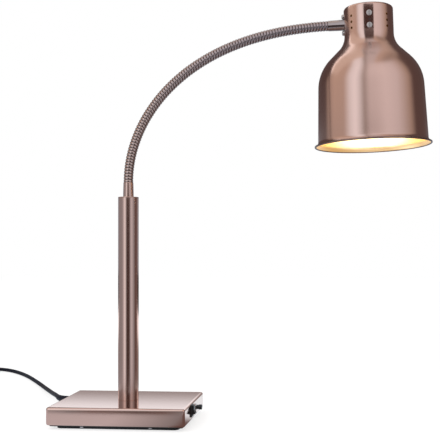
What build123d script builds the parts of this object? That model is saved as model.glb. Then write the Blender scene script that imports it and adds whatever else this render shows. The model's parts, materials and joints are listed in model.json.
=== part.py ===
from build123d import *
import os
from math import atan2, cos, degrees, pi, radians, sin, sqrt, tan

os.makedirs("parts", exist_ok=True)

# Flexible food heat lamp: a weighted box base, an upright column, a ribbed flexible neck and a
# spun shade over a reflector bulb. Millimetres. X runs along the arm, Y away from the viewer,
# Z up, with the origin on the table under the column's axis.

# Fits
fastener_clearance = 0.1
running_clearance = 0.05
sheet_gap = 0.1
pin_clearance = 0.02
end_gap = 0.3
drill_overrun = 2.0

# Screw heads
screw_slot_width = 1.0
screw_slot_depth = 1.0
screw_dome_share = 0.6

# Base box
base_length = 210.0
base_depth = 160.0
base_height = 27.0
base_sheet = 1.5
base_edge_radius = 3.5
base_flange = 10.0
pad_thickness = 4.5
pad_inset = 12.0
pad_corner_radius = 8.0
plate_thickness = 1.5
plate_inset = 4.0
plate_corner_radius = 3.0
plate_screw_radius = 1.5
plate_screw_length = 7.0
plate_screw_head_radius = 2.75
plate_screw_head_height = 1.8
plate_screw_spread = 104.0
plate_screw_inset_share = 0.6

# Ballast
ballast_thickness = 16.0
ballast_left_gap = 15.5
ballast_right_gap = 53.5
ballast_side_gap = 12.5
ballast_notch_length = 26.0
ballast_notch_depth = 24.0
ballast_eye_radius = 22.0
ballast_slot_width = 16.0
ballast_corner = 1.0
ballast_stud_radius = 2.5
ballast_stud_end = 1.0
ballast_stud_left_inset = 28.0
ballast_stud_right_inset = 18.0
ballast_stud_side_inset = 18.0
ballast_stud_notch_inset = 2.0
ballast_nut_height = 4.0
ballast_nut_flats = 8.0

# Column
column_radius = 16.0
column_wall = 1.5
column_height = 317.5
column_cap_lip = 1.5
column_cap_depth = 10.0
column_cap_chamfer = 0.5
column_plug_height = 15.0
stub_radius = 10.0
stub_length = 14.0
lock_nut_flats = 30.0
lock_nut_height = 8.0
lock_washer_radius = 20.0
lock_washer_thickness = 2.0
wire_way_radius = 4.5
column_lead_bend = 10.0
wire_height = 7.0

# Flexible neck
neck_radius = 7.5
neck_groove_radius = 6.4
neck_core_radius = 3.9
neck_bore_radius = 3.4
neck_length = 436.3
neck_links = 8
ribs_per_link = 12
first_link_bend = 16.57
link_bend_step = 1.597
groove_width = 0.5
rib_shoulder = 0.6
joint_core_gap = 0.8
joint_rib_gap = 1.4
lead_radius = 2.8
lead_tip_radius = 0.8
lead_tip_gap = 0.2
lead_tip_length = 0.45
tenon_radius = 6.5
tenon_length = 10.0
spigot_radius = 5.0
spigot_length = 12.0

# Ferrule on the column and sleeve on the shade
ferrule_wide_radius = 8.3
ferrule_narrow_radius = 7.8
ferrule_length = 22.9
sleeve_length = 24.5
saddle_depth = 2.0

# Shade
shade_sheet = 1.2
shade_height = 212.0
shade_mouth_radius = 90.0
shade_flare_height = 6.0
shade_wall_foot_radius = 84.3
shade_wall_top_radius = 79.9
shade_neck_radius = 37.7
shade_neck_length = 55.0
shade_shoulder_drop = 41.4
shade_top_round = 4.0
shade_neck_round = 33.0
shade_shoulder_round = 62.0
shade_flare_round = 7.0
shade_lip_radius = 1.5
arm_drop = 24.0
vent_radius = 2.0
vent_columns = 8
vent_row_pitch = 9.15
vent_drop = 26.5

# Plate and screws that carry the shade on the neck
arm_plate_thickness = 2.0
arm_plate_angle = 28.0
arm_plate_below = 20.0
arm_plate_above = 19.0
arm_screw_spacing = 25.0
arm_screw_head_radius = 3.75
arm_screw_head_height = 3.5
arm_screw_radius = 2.0
arm_screw_length = 6.0
arm_spigot_head = 0.6
holder_screw_head_radius = 4.2
holder_screw_head_height = 3.0

# Lampholder, its bracket and the reflector bulb
holder_radius = 20.0
holder_cap_radius = 16.0
holder_cap_height = 9.0
holder_drop = 52.0
holder_height = 43.0
holder_foot_round = 1.5
holder_shoulder_round = 5.0
holder_top_round = 2.0
holder_cavity_radius = 15.0
holder_cavity_depth = 30.0
holder_entry_depth = 4.0
socket_wall = 0.7
socket_length = 24.0
socket_clearance = 0.15
socket_flange = 1.5
contact_radius = 4.0
contact_thickness = 1.2
bracket_thickness = 2.0
bracket_width = 22.0
bracket_drop = 35.0
bracket_shelf_reach = 12.0
nipple_radius = 5.0
nipple_nut_flats = 14.0
nipple_nut_height = 3.5
nipple_top_gap = 1.0
bulb_radius = 62.5
bulb_flat_radius = 25.0
bulb_length = 175.0
bulb_rim_height = 14.0
bulb_side_height = 34.0
bulb_neck_height = 118.0
bulb_glass = 1.2
bulb_neck_radius = 18.0
bulb_neck_taper = 1.5
bulb_collar_height = 6.0
bulb_face_round = 90.0
bulb_rim_round = 11.0
bulb_shoulder_round = 26.0
bulb_waist_round = 45.0
bulb_collar_round = 4.0
bulb_cap_radius = 13.2
bulb_cap_height = 26.0
bulb_cap_wall = 0.8
bulb_cap_seam = 0.1
insulator_height = 4.0
insulator_top_radius = 5.5
bulb_tip_radius = 4.5
bulb_tip_height = 1.0

# Rocker switch
switch_y = -24.5
switch_z = 21.5
bezel_width = 15.0
bezel_height = 19.0
bezel_thickness = 2.0
bezel_corner_round = 1.2
bezel_edge_round = 0.8
switch_box_width = 12.4
switch_box_height = 16.8
switch_box_depth = 14.0
switch_well_width = 11.0
switch_well_height = 15.4
switch_well_depth = 6.5
blade_length = 7.0
blade_half_width = 2.4
blade_half_thickness = 0.4
blade_spread = 4.0
rocker_width = 10.4
rocker_half_height = 6.4
rocker_pivot_depth = 2.5
rocker_back = 2.5
rocker_back_taper = 0.9
rocker_side_reach = 4.5
rocker_reach = 8.6
rocker_hollow = 1.4
rocker_brow = 0.2
rocker_round = 0.8
rocker_tilt = 12.0
trunnion_radius = 1.0
trunnion_reach = 0.55

# Dimmer
dimmer_y = 8.0
dimmer_z = 21.0
dimmer_box_depth = 13.0
dimmer_box_width = 18.0
dimmer_box_height = 16.0
dimmer_box_round = 2.0
bushing_radius = 3.5
bushing_reach = 5.5
bushing_root = 1.0
dimmer_nut_flats = 9.0
dimmer_nut_thickness = 2.0
shaft_radius = 2.0
shaft_bore_depth = 6.0
shaft_end_play = 0.2
knob_radius = 4.0
knob_length = 4.7
knob_gap = 0.4
knob_round = 1.0
knob_crown = 1.1
knob_mark_width = 0.6

# Mains cord and where it leaves the base
cord_radius = 3.75
outlet_inset = 18.0
outlet_z = 19.5
relief_bend_radius = 41.5
relief_turn = 60.5
relief_wide_radius = 6.5
relief_narrow_radius = 4.6
relief_flange_radius = 8.0
relief_flange_thickness = 2.0
relief_collar_radius = 5.9
relief_collar_length = 8.0
relief_steps = 6
gland_nut_flats = 16.0
gland_nut_thickness = 4.0
lead_straight_in = 24.0
lead_crossing = 18.0
lead_wide_bend = 18.0
lead_tight_bend = 12.0
cord_first_run = 26.0
cord_route = (
    (-172.5, 144.5, 15.0),
    (-197.9, 196.3, 10.8),
    (-224.3, 248.3, 7.0),
    (-249.8, 296.5, 4.9),
    (-283.0, 352.5, 3.85),
    (-313.7, 400.4, 3.85),
    (-341.0, 438.0, 3.85),
    (-366.1, 467.5, 3.85),
    (-388.0, 488.5, 3.85),
    (-407.0, 501.8, 3.85),
    (-429.1, 511.2, 3.85),
    (-450.6, 515.8, 3.85),
)
coil_outer_radius = 48.0
coil_turn_pitch = 8.2
coil_layer_pitch = 8.2
coil_layer_turns = 2.25
coil_reversal_turns = 0.5
tail_first_run = 22.0
tail_route = (
    (-515.9, 530.2, 14.6),
    (-545.8, 532.3, 18.5),
    (-570.8, 531.4, 18.5),
)

# Mains plug
plug_radius = 18.2
plug_face_length = 14.0
plug_grip_length = 26.0
plug_tail_radius = 6.0
plug_tail_length = 8.0
plug_tail_flare = 2.0
plug_tail_round = 1.0
plug_grip_hollow = 5.0
plug_grip_round = 8.0
plug_shoulder = 2.0
plug_shoulder_round = 0.8
plug_face_round = 1.5
pin_radius = 2.4
pin_length = 19.0
pin_spacing = 19.0
pin_tip_chamfer = 1.0
pin_root_radius = 1.8
pin_root_depth = 8.0
pin_root_gap = 0.2

# Terminal block
block_left = 54.0
block_length = 16.0
block_width = 30.0
block_height = 14.0
block_round = 1.5
terminal_pitch = 10.0
terminal_offset = 4.5
terminal_screw_radius = 1.5
terminal_screw_head_radius = 2.6
terminal_screw_head_height = 2.0
terminal_screw_length = 8.0
terminal_sink = 3.0
wire_radius = 0.9
wire_straight = 4.0
wire_bend = 1.9
switch_wire_y = -10.0
switch_wire_spread = 1.6
blade_wire_spread = 1.2
dimmer_wire_y = 9.0
dimmer_wire_spread = 3.0
dimmer_wire_rise = 5.0

# Levels and faces that follow from the sizes above
plate_bottom = pad_thickness
base_bottom = plate_bottom + plate_thickness
base_top = base_bottom + base_height
base_floor = base_bottom + base_sheet
base_ceiling = base_top - base_sheet
wall_right = base_length / 2
wall_left = -base_length / 2
wall_right_inside = wall_right - base_sheet
wall_left_inside = wall_left + base_sheet
outlet_y = base_depth / 2 - outlet_inset
ballast_left = wall_left_inside + ballast_left_gap
ballast_right = wall_right_inside - ballast_right_gap
ballast_depth = base_depth - 2 * (base_sheet + ballast_side_gap)
ballast_top = base_bottom + ballast_thickness
column_top = base_top + column_height
column_inside_radius = column_radius - column_wall
ferrule_top = column_top + ferrule_length
link_length = neck_length / neck_links
rib_pitch = link_length / ribs_per_link
shade_axis = sleeve_length + shade_neck_radius
shade_inside_radius = shade_neck_radius - shade_sheet
shade_neck_foot_height = shade_height - shade_neck_length
shade_wall_top_height = shade_neck_foot_height - shade_shoulder_drop
arm_height = shade_height - arm_drop
vent_middle_height = shade_height - vent_drop
holder_bottom = shade_height - holder_drop
holder_top = holder_bottom + holder_height
holder_cavity_top = holder_bottom + holder_cavity_depth
bulb_top = holder_cavity_top - contact_thickness - end_gap
bulb_face_height = bulb_top - bulb_length
arm_plate_inside = shade_inside_radius - arm_plate_thickness - arm_spigot_head
wire_level = base_bottom + wire_height
plug_face = plug_grip_length + plug_face_length


# Small helpers
def rod(radius, low, high):
    return Pos(0, 0, low) * Cylinder(radius, high - low, align=(Align.CENTER, Align.CENTER, Align.MIN))


def pipe(outer, inner, low, high):
    return rod(outer, low, high) - rod(inner, low, high)


def block(x0, x1, y0, y1, z0, z1):
    centre = Pos((x0 + x1) / 2, (y0 + y1) / 2, (z0 + z1) / 2)
    return centre * Box(x1 - x0, y1 - y0, z1 - z0)


def hexagon(flats, low, high, hole_radius):
    nut = extrude(Pos(0, 0, low) * RegularPolygon(flats / 2, 6, major_radius=False), high - low)
    return nut - rod(hole_radius, low, high)


def along_x(shape, x=0.0, y=0.0, z=0.0):
    return Pos(x, y, z) * Rot(0, 90, 0) * shape


def domed_screw(head_radius, head_height, shank_radius, shank_length):
    dome = head_height * screw_dome_share
    head = fillet(rod(head_radius, 0, head_height).edges().sort_by(Axis.Z)[-1], dome)
    slot_half = screw_slot_width / 2
    slot_bottom = head_height - screw_slot_depth
    slot = block(-head_radius, head_radius, -slot_half, slot_half, slot_bottom, head_height)
    return head - slot + rod(shank_radius, -shank_length, 0)


def swept_round(radius, path):
    return sweep(Plane(origin=path @ 0, z_dir=path % 0) * Circle(radius), path=path)


def gather(pieces):
    whole = Part()
    for piece in pieces:
        whole += piece
    return whole


def easy_radii(points):
    """Each corner's radius: 0.45 of its shorter run over the tangent of half the turn."""
    radii = []
    for before, corner, after in zip(points, points[1:], points[2:]):
        first = Vector(corner) - Vector(before)
        second = Vector(after) - Vector(corner)
        half_turn = radians(first.get_angle(second)) / 2
        radii.append(0.45 * min(first.length, second.length) / tan(half_turn))
    return radii


def easy_path(name, points):
    radii = easy_radii(points)
    print(name, "corner radii", [round(radius) for radius in radii])
    return FilletPolyline(*points, radius=radii)


# Base
def base_housing():
    outside = block(wall_left, wall_right, -base_depth / 2, base_depth / 2, base_bottom, base_top)
    outside = fillet(outside.edges(), base_edge_radius)
    inner_half = base_depth / 2 - base_sheet
    inside = block(wall_left_inside, wall_right_inside, -inner_half, inner_half, base_floor, base_ceiling)
    inside = fillet(inside.edges(), base_edge_radius - base_sheet)
    window_x = wall_right_inside - base_flange
    window_y = inner_half - base_flange
    window = block(-window_x, window_x, -window_y, window_y, base_bottom, base_floor)
    housing = outside - inside - window
    housing -= rod(stub_radius + fastener_clearance, base_ceiling, base_top)
    for x, y in plate_screw_places():
        housing -= Pos(x, y, 0) * rod(plate_screw_radius + fastener_clearance, base_bottom, base_floor)
    switch_half_width = switch_box_width / 2 + sheet_gap
    switch_half_height = switch_box_height / 2 + sheet_gap
    housing -= block(
        wall_right_inside - sheet_gap,
        wall_right + sheet_gap,
        switch_y - switch_half_width,
        switch_y + switch_half_width,
        switch_z - switch_half_height,
        switch_z + switch_half_height,
    )
    bushing_hole = rod(bushing_radius + fastener_clearance, 0, base_sheet)
    housing -= along_x(bushing_hole, wall_right_inside, dimmer_y, dimmer_z)
    outlet_hole = rod(relief_collar_radius + fastener_clearance, 0, base_sheet)
    housing -= along_x(outlet_hole, wall_left, outlet_y, outlet_z)
    return housing


def plate_screw_places():
    y = base_depth / 2 - base_sheet - base_flange * plate_screw_inset_share
    return [(sx * plate_screw_spread / 2, sy * y) for sx in (-1, 1) for sy in (-1, 1)]


def bottom_plate():
    outline = RectangleRounded(
        base_length - 2 * plate_inset, base_depth - 2 * plate_inset, plate_corner_radius
    )
    plate = extrude(Pos(0, 0, plate_bottom) * outline, plate_thickness)
    for x, y in plate_screw_places():
        plate -= Pos(x, y, 0) * rod(plate_screw_radius + fastener_clearance, plate_bottom, base_bottom)
    stud_top = ballast_top + ballast_nut_height + ballast_stud_end
    for x, y in ballast_stud_places():
        plate += Pos(x, y, 0) * rod(ballast_stud_radius, plate_bottom, stud_top)
    return plate


def base_pad():
    outline = RectangleRounded(base_length - 2 * pad_inset, base_depth - 2 * pad_inset, pad_corner_radius)
    return extrude(outline, pad_thickness)


def plate_screws():
    screw = domed_screw(
        plate_screw_head_radius, plate_screw_head_height, plate_screw_radius, plate_screw_length
    )
    hung = Rot(180, 0, 0) * screw
    return gather(Pos(x, y, plate_bottom) * hung for x, y in plate_screw_places())


def ballast_stud_places():
    left = ballast_left + ballast_stud_left_inset
    right = ballast_right - ballast_stud_right_inset
    side = ballast_depth / 2 - ballast_stud_side_inset
    beside_notch = ballast_depth / 2 - ballast_notch_depth - ballast_stud_notch_inset
    return [(left, -side), (left, beside_notch), (right, -side), (right, side)]


def ballast_plate():
    half = ballast_depth / 2
    slab = block(ballast_left, ballast_right, -half, half, base_bottom, ballast_top)
    slab -= block(
        ballast_left,
        ballast_left + ballast_notch_length,
        half - ballast_notch_depth,
        half,
        base_bottom,
        ballast_top,
    )
    slab = chamfer(slab.edges().filter_by(Axis.Z), ballast_corner)
    slab -= rod(ballast_eye_radius, base_bottom, ballast_top)
    slot_half = ballast_slot_width / 2
    slab -= block(0, ballast_right, -slot_half, slot_half, base_bottom, ballast_top)
    for x, y in ballast_stud_places():
        slab -= Pos(x, y, 0) * rod(ballast_stud_radius + fastener_clearance, base_bottom, ballast_top)
    return slab


def ballast_nuts():
    nut = hexagon(
        ballast_nut_flats,
        ballast_top,
        ballast_top + ballast_nut_height,
        ballast_stud_radius + fastener_clearance,
    )
    return gather(Pos(x, y, 0) * nut for x, y in ballast_stud_places())


# Column
def column_tube():
    return pipe(column_radius, column_inside_radius, base_top, column_top - column_cap_lip)


def column_base_plug():
    plug = rod(column_inside_radius - running_clearance, base_top, base_top + column_plug_height)
    plug += rod(stub_radius, base_top - stub_length, base_top)
    return plug - rod(wire_way_radius, base_top - stub_length, base_top + column_plug_height)


def column_washer():
    low = base_ceiling - lock_washer_thickness
    return pipe(lock_washer_radius, stub_radius + fastener_clearance, low, base_ceiling)


def column_lock_nut():
    high = base_ceiling - lock_washer_thickness
    return hexagon(lock_nut_flats, high - lock_nut_height, high, stub_radius + fastener_clearance)


def column_cap():
    lip_bottom = column_top - column_cap_lip
    lip = rod(column_radius, lip_bottom, column_top)
    lip = chamfer(lip.edges().sort_by(Axis.Z)[-1], column_cap_chamfer)
    hole_bottom = lip_bottom - column_cap_depth
    plug = rod(column_inside_radius - running_clearance, hole_bottom, lip_bottom)
    return lip + plug - rod(spigot_radius + fastener_clearance, hole_bottom, column_top)


def lower_ferrule():
    taper = Pos(0, 0, column_top) * Cone(
        ferrule_wide_radius,
        ferrule_narrow_radius,
        ferrule_length,
        align=(Align.CENTER, Align.CENTER, Align.MIN),
    )
    spigot_bottom = column_top - spigot_length
    ferrule = taper + rod(spigot_radius, spigot_bottom, column_top)
    ferrule -= rod(neck_bore_radius, spigot_bottom, ferrule_top)
    socket_floor = ferrule_top - tenon_length - end_gap
    return ferrule - rod(tenon_radius + fastener_clearance, socket_floor, ferrule_top)


# Flexible neck: each link follows an arc in the XZ plane
def link_bend(link):
    return first_link_bend - link_bend_step * link


def link_radius(link):
    return link_length / radians(link_bend(link))


def neck_joint(joint):
    """The neck's centre point and heading, in degrees above +X, at the start of a link."""
    x, z, heading = 0.0, ferrule_top, 90.0
    for link in range(joint):
        radius = link_radius(link)
        turned = heading - link_bend(link)
        x += radius * (sin(radians(heading)) - sin(radians(turned)))
        z += radius * (cos(radians(turned)) - cos(radians(heading)))
        heading = turned
    return x, z, heading


def neck_plane(link, distance):
    """The plane square to the neck at a distance along a link, with its X axis along Y."""
    x, z, heading = neck_joint(link)
    radius = link_radius(link)
    turned = heading - degrees(distance / radius)
    x += radius * (sin(radians(heading)) - sin(radians(turned)))
    z += radius * (cos(radians(turned)) - cos(radians(heading)))
    direction = (cos(radians(turned)), 0, sin(radians(turned)))
    return Plane(origin=(x, 0, z), x_dir=(0, 1, 0), z_dir=direction)


def link_arc(link, start, end):
    middle = (start + end) / 2
    points = [neck_plane(link, distance).origin for distance in (start, middle, end)]
    return ThreePointArc(*points)


def rib_rings(rib, opens_at_start, opens_at_end):
    """A rib's four circles, as distance and radius: groove, crest, crest, groove."""
    low = rib * rib_pitch
    high = low + rib_pitch
    start = [(low + groove_width / 2, neck_groove_radius)]
    start.append((low + groove_width / 2 + rib_shoulder, neck_radius))
    if opens_at_start:
        start = [(joint_core_gap, neck_core_radius), (joint_rib_gap, neck_radius)]
    end = [(high - groove_width / 2 - rib_shoulder, neck_radius)]
    end.append((high - groove_width / 2, neck_groove_radius))
    if opens_at_end:
        end = [(high - joint_rib_gap, neck_radius), (high - joint_core_gap, neck_core_radius)]
    return start + end


def neck_link(link):
    first, last = link == 0, link == neck_links - 1
    rings = []
    for rib in range(ribs_per_link):
        opens_at_start = rib == 0 and not first
        opens_at_end = rib == ribs_per_link - 1 and not last
        rings += rib_rings(rib, opens_at_start, opens_at_end)
    if first:
        rings.insert(0, (0.0, neck_groove_radius))
    if last:
        rings.append((link_length, neck_groove_radius))
    sections = [(neck_plane(link, distance) * Circle(radius)).face() for distance, radius in rings]
    body = loft(sections, ruled=True)
    low, high = rings[0][0], rings[-1][0]
    if first:
        body += rod(tenon_radius, ferrule_top - tenon_length, ferrule_top)
        body -= rod(neck_bore_radius, ferrule_top - tenon_length, ferrule_top)
    if last:
        body += head_place() * along_x(rod(tenon_radius, 0, tenon_length))
        body -= head_place() * along_x(rod(neck_bore_radius, 0, tenon_length))
    return body - swept_round(neck_bore_radius, link_arc(link, low, high))


def lead_tip(plane, backwards):
    """A short cone that leaves the lead's end room to tilt at a joint."""
    tip = Cone(lead_radius, lead_tip_radius, lead_tip_length, align=(Align.CENTER, Align.CENTER, Align.MIN))
    if backwards:
        tip = Rot(180, 0, 0) * tip
    return plane.location * tip


def neck_lead(link):
    low, high = 0.0, link_length
    pieces = []
    if link > 0:
        low = lead_tip_gap + lead_tip_length
        pieces.append(lead_tip(neck_plane(link, low), True))
    if link < neck_links - 1:
        high = link_length - lead_tip_gap - lead_tip_length
        pieces.append(lead_tip(neck_plane(link, high), False))
    pieces.append(swept_round(lead_radius, link_arc(link, low, high)))
    return gather(pieces)


def column_lead():
    corner = (0, 0, wire_level)
    points = ((0, 0, ferrule_top), corner, (block_left, 0, wire_level))
    path = FilletPolyline(*points, radius=column_lead_bend)
    return swept_round(lead_radius, path)


# Head: modelled about the neck's end, with X along the arm and Z square to it
def head_place():
    x, z, heading = neck_joint(neck_links)
    return Pos(x, 0, z) * Rot(0, -heading, 0)


def at_shade(shape):
    """Moves a piece from the shade's axis, with its rim at height 0, to the head."""
    return head_place() * Pos(shade_axis, 0, -arm_height) * shape


def head_sleeve():
    taper = along_x(
        Cone(
            ferrule_narrow_radius,
            ferrule_wide_radius,
            sleeve_length + saddle_depth,
            align=(Align.CENTER, Align.CENTER, Align.MIN),
        )
    )
    taper -= Pos(shade_axis, 0, 0) * rod(shade_neck_radius + running_clearance, -arm_height, arm_height)
    taper -= along_x(rod(neck_bore_radius, 0, shade_axis))
    taper -= along_x(rod(tenon_radius + fastener_clearance, 0, tenon_length + end_gap))
    spigot_start = sleeve_length - spigot_length
    spigot_hole = rod(spigot_radius + fastener_clearance, spigot_start, sleeve_length + saddle_depth)
    taper -= along_x(spigot_hole)
    return head_place() * taper


def shade_outline():
    points = (
        (0, shade_height),
        (shade_neck_radius, shade_height),
        (shade_neck_radius, shade_neck_foot_height),
        (shade_wall_top_radius, shade_wall_top_height),
        (shade_wall_foot_radius, shade_flare_height),
        (shade_mouth_radius - shade_lip_radius, shade_lip_radius),
    )
    rounds = (shade_top_round, shade_neck_round, shade_shoulder_round, shade_flare_round)
    return FilletPolyline(*points, radius=list(rounds))


def around_neck(shape, angle, height, depth):
    """Turns a piece that points along +Z to point outwards from the shade's neck."""
    return Rot(0, 0, angle) * Pos(depth, 0, height) * Rot(0, 90, 0) * shape


def shade():
    skin = make_face(offset(shade_outline(), shade_sheet, side=Side.RIGHT))
    skin += Pos(shade_mouth_radius - shade_lip_radius, shade_lip_radius) * Circle(shade_lip_radius)
    body = revolve(Plane.XZ * skin, axis=Axis.Z)
    hole_depth = shade_inside_radius - drill_overrun
    hole_length = shade_sheet + 2 * drill_overrun
    vent = rod(vent_radius, 0, hole_length)
    screw_hole = rod(arm_screw_radius + fastener_clearance, 0, hole_length)
    for column in range(vent_columns):
        angle = 360.0 / vent_columns * column
        if angle == 180.0:
            continue
        for row in (-1, 0, 1):
            height = vent_middle_height + row * vent_row_pitch
            hole = screw_hole if angle == 270.0 and row else vent
            body -= around_neck(hole, angle, height, hole_depth)
    for side in (-1, 1):
        height = arm_height + side * arm_screw_spacing / 2
        body -= around_neck(screw_hole, 180, height, hole_depth)
    spigot_hole = rod(spigot_radius + fastener_clearance, 0, hole_length)
    body -= around_neck(spigot_hole, 180, arm_height, hole_depth)
    return at_shade(body)


def curved_plate(thickness, angle, low, high, middle_angle):
    """A plate that lies inside the shade's neck, as a part of a ring."""
    outer = shade_inside_radius - running_clearance
    ring = pipe(outer, outer - thickness, low, high)
    reach = shade_neck_radius + drill_overrun
    half = radians(angle / 2)
    wedge = extrude(
        Pos(0, 0, low) * make_face(Polyline(
            (0, 0), (reach, -reach * tan(half)), (reach, reach * tan(half)), (0, 0)
        )),
        high - low,
    )
    return Rot(0, 0, middle_angle) * (ring & wedge)


def arm_bracket():
    low, high = arm_height - arm_plate_below, arm_height + arm_plate_above
    plate = curved_plate(arm_plate_thickness, arm_plate_angle, low, high, 180)
    spigot = rod(spigot_radius, 0, shade_neck_radius + spigot_length - arm_plate_inside)
    plate += around_neck(spigot, 180, arm_height, arm_plate_inside)
    bore_start = arm_plate_inside - drill_overrun
    bore = rod(neck_bore_radius, 0, shade_neck_radius + spigot_length + drill_overrun - bore_start)
    plate -= around_neck(bore, 180, arm_height, bore_start)
    hole = rod(arm_screw_radius + fastener_clearance, 0, arm_screw_length + drill_overrun)
    for side in (-1, 1):
        height = arm_height + side * arm_screw_spacing / 2
        plate -= around_neck(hole, 180, height, bore_start)
    return at_shade(plate)


def arm_screws():
    screw = domed_screw(arm_screw_head_radius, arm_screw_head_height, arm_screw_radius, arm_screw_length)
    heights = [arm_height + side * arm_screw_spacing / 2 for side in (-1, 1)]
    return at_shade(gather(around_neck(screw, 180, height, shade_neck_radius) for height in heights))


def holder_bracket():
    top = holder_top + bracket_thickness
    leg_angle = degrees(bracket_width / shade_neck_radius)
    leg = curved_plate(bracket_thickness, leg_angle, top - bracket_drop, top, 270)
    outer = shade_inside_radius - running_clearance
    hole = rod(arm_screw_radius + fastener_clearance, 0, arm_screw_length + drill_overrun)
    for row in (-1, 1):
        height = vent_middle_height + row * vent_row_pitch
        leg -= around_neck(hole, 270, height, outer - arm_screw_length)
    half = bracket_width / 2
    shelf = block(-half, half, -outer, bracket_shelf_reach, holder_top, top)
    shelf &= rod(outer - bracket_thickness / 2, holder_top, top)
    shelf -= rod(nipple_radius + fastener_clearance, holder_top, top)
    return at_shade(leg + shelf)


def bracket_screws():
    screw = domed_screw(
        holder_screw_head_radius, holder_screw_head_height, arm_screw_radius, arm_screw_length
    )
    heights = [vent_middle_height + row * vent_row_pitch for row in (-1, 1)]
    return at_shade(gather(around_neck(screw, 270, height, shade_neck_radius) for height in heights))


def lampholder_body():
    points = (
        (0, holder_bottom),
        (holder_radius, holder_bottom),
        (holder_radius, holder_top - holder_cap_height),
        (holder_cap_radius, holder_top),
        (0, holder_top),
    )
    rounds = (holder_foot_round, holder_shoulder_round, holder_top_round)
    outline = FilletPolyline(*points, radius=list(rounds))
    body = revolve(Plane.XZ * make_face(outline + Line(points[-1], points[0])), axis=Axis.Z)
    body -= rod(holder_cavity_radius, holder_bottom, holder_cavity_top)
    entry = rod(lead_radius + fastener_clearance, 0, holder_entry_depth)
    body -= around_neck(entry, 180, arm_height, holder_radius - holder_entry_depth)
    body += rod(nipple_radius, holder_top, shade_height - shade_sheet - nipple_top_gap)
    return at_shade(body)


def lampholder_shell():
    inner = bulb_cap_radius + socket_clearance
    high = holder_cavity_top
    shell = pipe(inner + socket_wall, inner, high - socket_length, high)
    flange = pipe(holder_cavity_radius - fastener_clearance, inner, high - socket_flange, high)
    return at_shade(shell + flange)


def lampholder_contact():
    return at_shade(rod(contact_radius, holder_cavity_top - contact_thickness, holder_cavity_top))


def holder_nut():
    low = holder_top + bracket_thickness
    hole_radius = nipple_radius + fastener_clearance
    return at_shade(hexagon(nipple_nut_flats, low, low + nipple_nut_height, hole_radius))


def bulb_envelope():
    cap_foot = bulb_top - bulb_cap_height
    points = (
        (0, bulb_face_height),
        (bulb_flat_radius, bulb_face_height),
        (bulb_radius, bulb_face_height + bulb_rim_height),
        (bulb_radius, bulb_face_height + bulb_side_height),
        (bulb_neck_radius, bulb_face_height + bulb_neck_height),
        (bulb_neck_radius - bulb_neck_taper, cap_foot - bulb_collar_height),
        (bulb_cap_radius - bulb_cap_seam, cap_foot),
    )
    rounds = (bulb_face_round, bulb_rim_round, bulb_shoulder_round, bulb_waist_round, bulb_collar_round)
    outline = FilletPolyline(*points, radius=list(rounds))
    skin = make_face(offset(outline, bulb_glass, side=Side.LEFT))
    envelope = revolve(Plane.XZ * skin, axis=Axis.Z)
    return at_shade(envelope)


def bulb_cap():
    foot = bulb_top - bulb_cap_height
    shell_top = bulb_top - bulb_tip_height - insulator_height
    cap = rod(bulb_cap_radius, foot, shell_top)
    insulator = Pos(0, 0, shell_top) * Cone(
        bulb_cap_radius,
        insulator_top_radius,
        insulator_height,
        align=(Align.CENTER, Align.CENTER, Align.MIN),
    )
    cap += insulator + rod(bulb_tip_radius, bulb_top - bulb_tip_height, bulb_top)
    cap -= rod(bulb_cap_radius - bulb_cap_wall, foot, shell_top - bulb_tip_height)
    return at_shade(cap)


def head_lead():
    end = shade_axis - holder_radius + holder_entry_depth - fastener_clearance
    return head_place() * along_x(rod(lead_radius, 0, end))


# Rocker switch: a snap-in box, its rocker on two trunnions and two blades
def switch_body():
    rim = block(
        wall_right,
        wall_right + bezel_thickness,
        switch_y - bezel_width / 2,
        switch_y + bezel_width / 2,
        switch_z - bezel_height / 2,
        switch_z + bezel_height / 2,
    )
    rim = fillet(rim.edges().filter_by(Axis.X), bezel_corner_round)
    rim = fillet(rim.faces().sort_by(Axis.X)[-1].edges(), bezel_edge_round)
    box_half_width = switch_box_width / 2
    box_half_height = switch_box_height / 2
    box = block(
        wall_right - switch_box_depth,
        wall_right,
        switch_y - box_half_width,
        switch_y + box_half_width,
        switch_z - box_half_height,
        switch_z + box_half_height,
    )
    well = block(
        wall_right - switch_well_depth,
        wall_right + bezel_thickness + drill_overrun,
        switch_y - switch_well_width / 2,
        switch_y + switch_well_width / 2,
        switch_z - switch_well_height / 2,
        switch_z + switch_well_height / 2,
    )
    half_axle = rocker_width / 2 + trunnion_reach + running_clearance
    axle_hole = Rot(90, 0, 0) * rod(trunnion_radius + running_clearance, -half_axle, half_axle)
    pivot_x = wall_right - rocker_pivot_depth
    return rim + box - well - Pos(pivot_x, switch_y, switch_z) * axle_hole


def switch_terminals():
    rear = wall_right - switch_box_depth
    low_y, high_y = switch_y - blade_half_width, switch_y + blade_half_width
    blades = []
    for side in (-1, 1):
        z = switch_z + side * blade_spread
        low_z, high_z = z - blade_half_thickness, z + blade_half_thickness
        blades.append(block(rear - blade_length, rear, low_y, high_y, low_z, high_z))
    return gather(blades)


def rocker():
    half = rocker_half_height
    back_half = half - rocker_back_taper
    face_half = half - rocker_brow
    outline = Polyline(
        (-rocker_back, -back_half),
        (rocker_side_reach, -half),
        (rocker_reach, -face_half),
        (rocker_reach - rocker_hollow, 0),
        (rocker_reach, face_half),
        (rocker_side_reach, half),
        (-rocker_back, back_half),
        (-rocker_back, -back_half),
    )
    body = extrude(Plane.XZ * make_face(outline), rocker_width / 2, both=True)
    body = fillet(body.edges().filter_by(Axis.Y).sort_by(Axis.X)[-3:], rocker_round)
    half_axle = rocker_width / 2 + trunnion_reach
    body += Rot(90, 0, 0) * rod(trunnion_radius, -half_axle, half_axle)
    pivot = Pos(wall_right - rocker_pivot_depth, switch_y, switch_z)
    return pivot * Rot(0, -rocker_tilt, 0) * body


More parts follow.
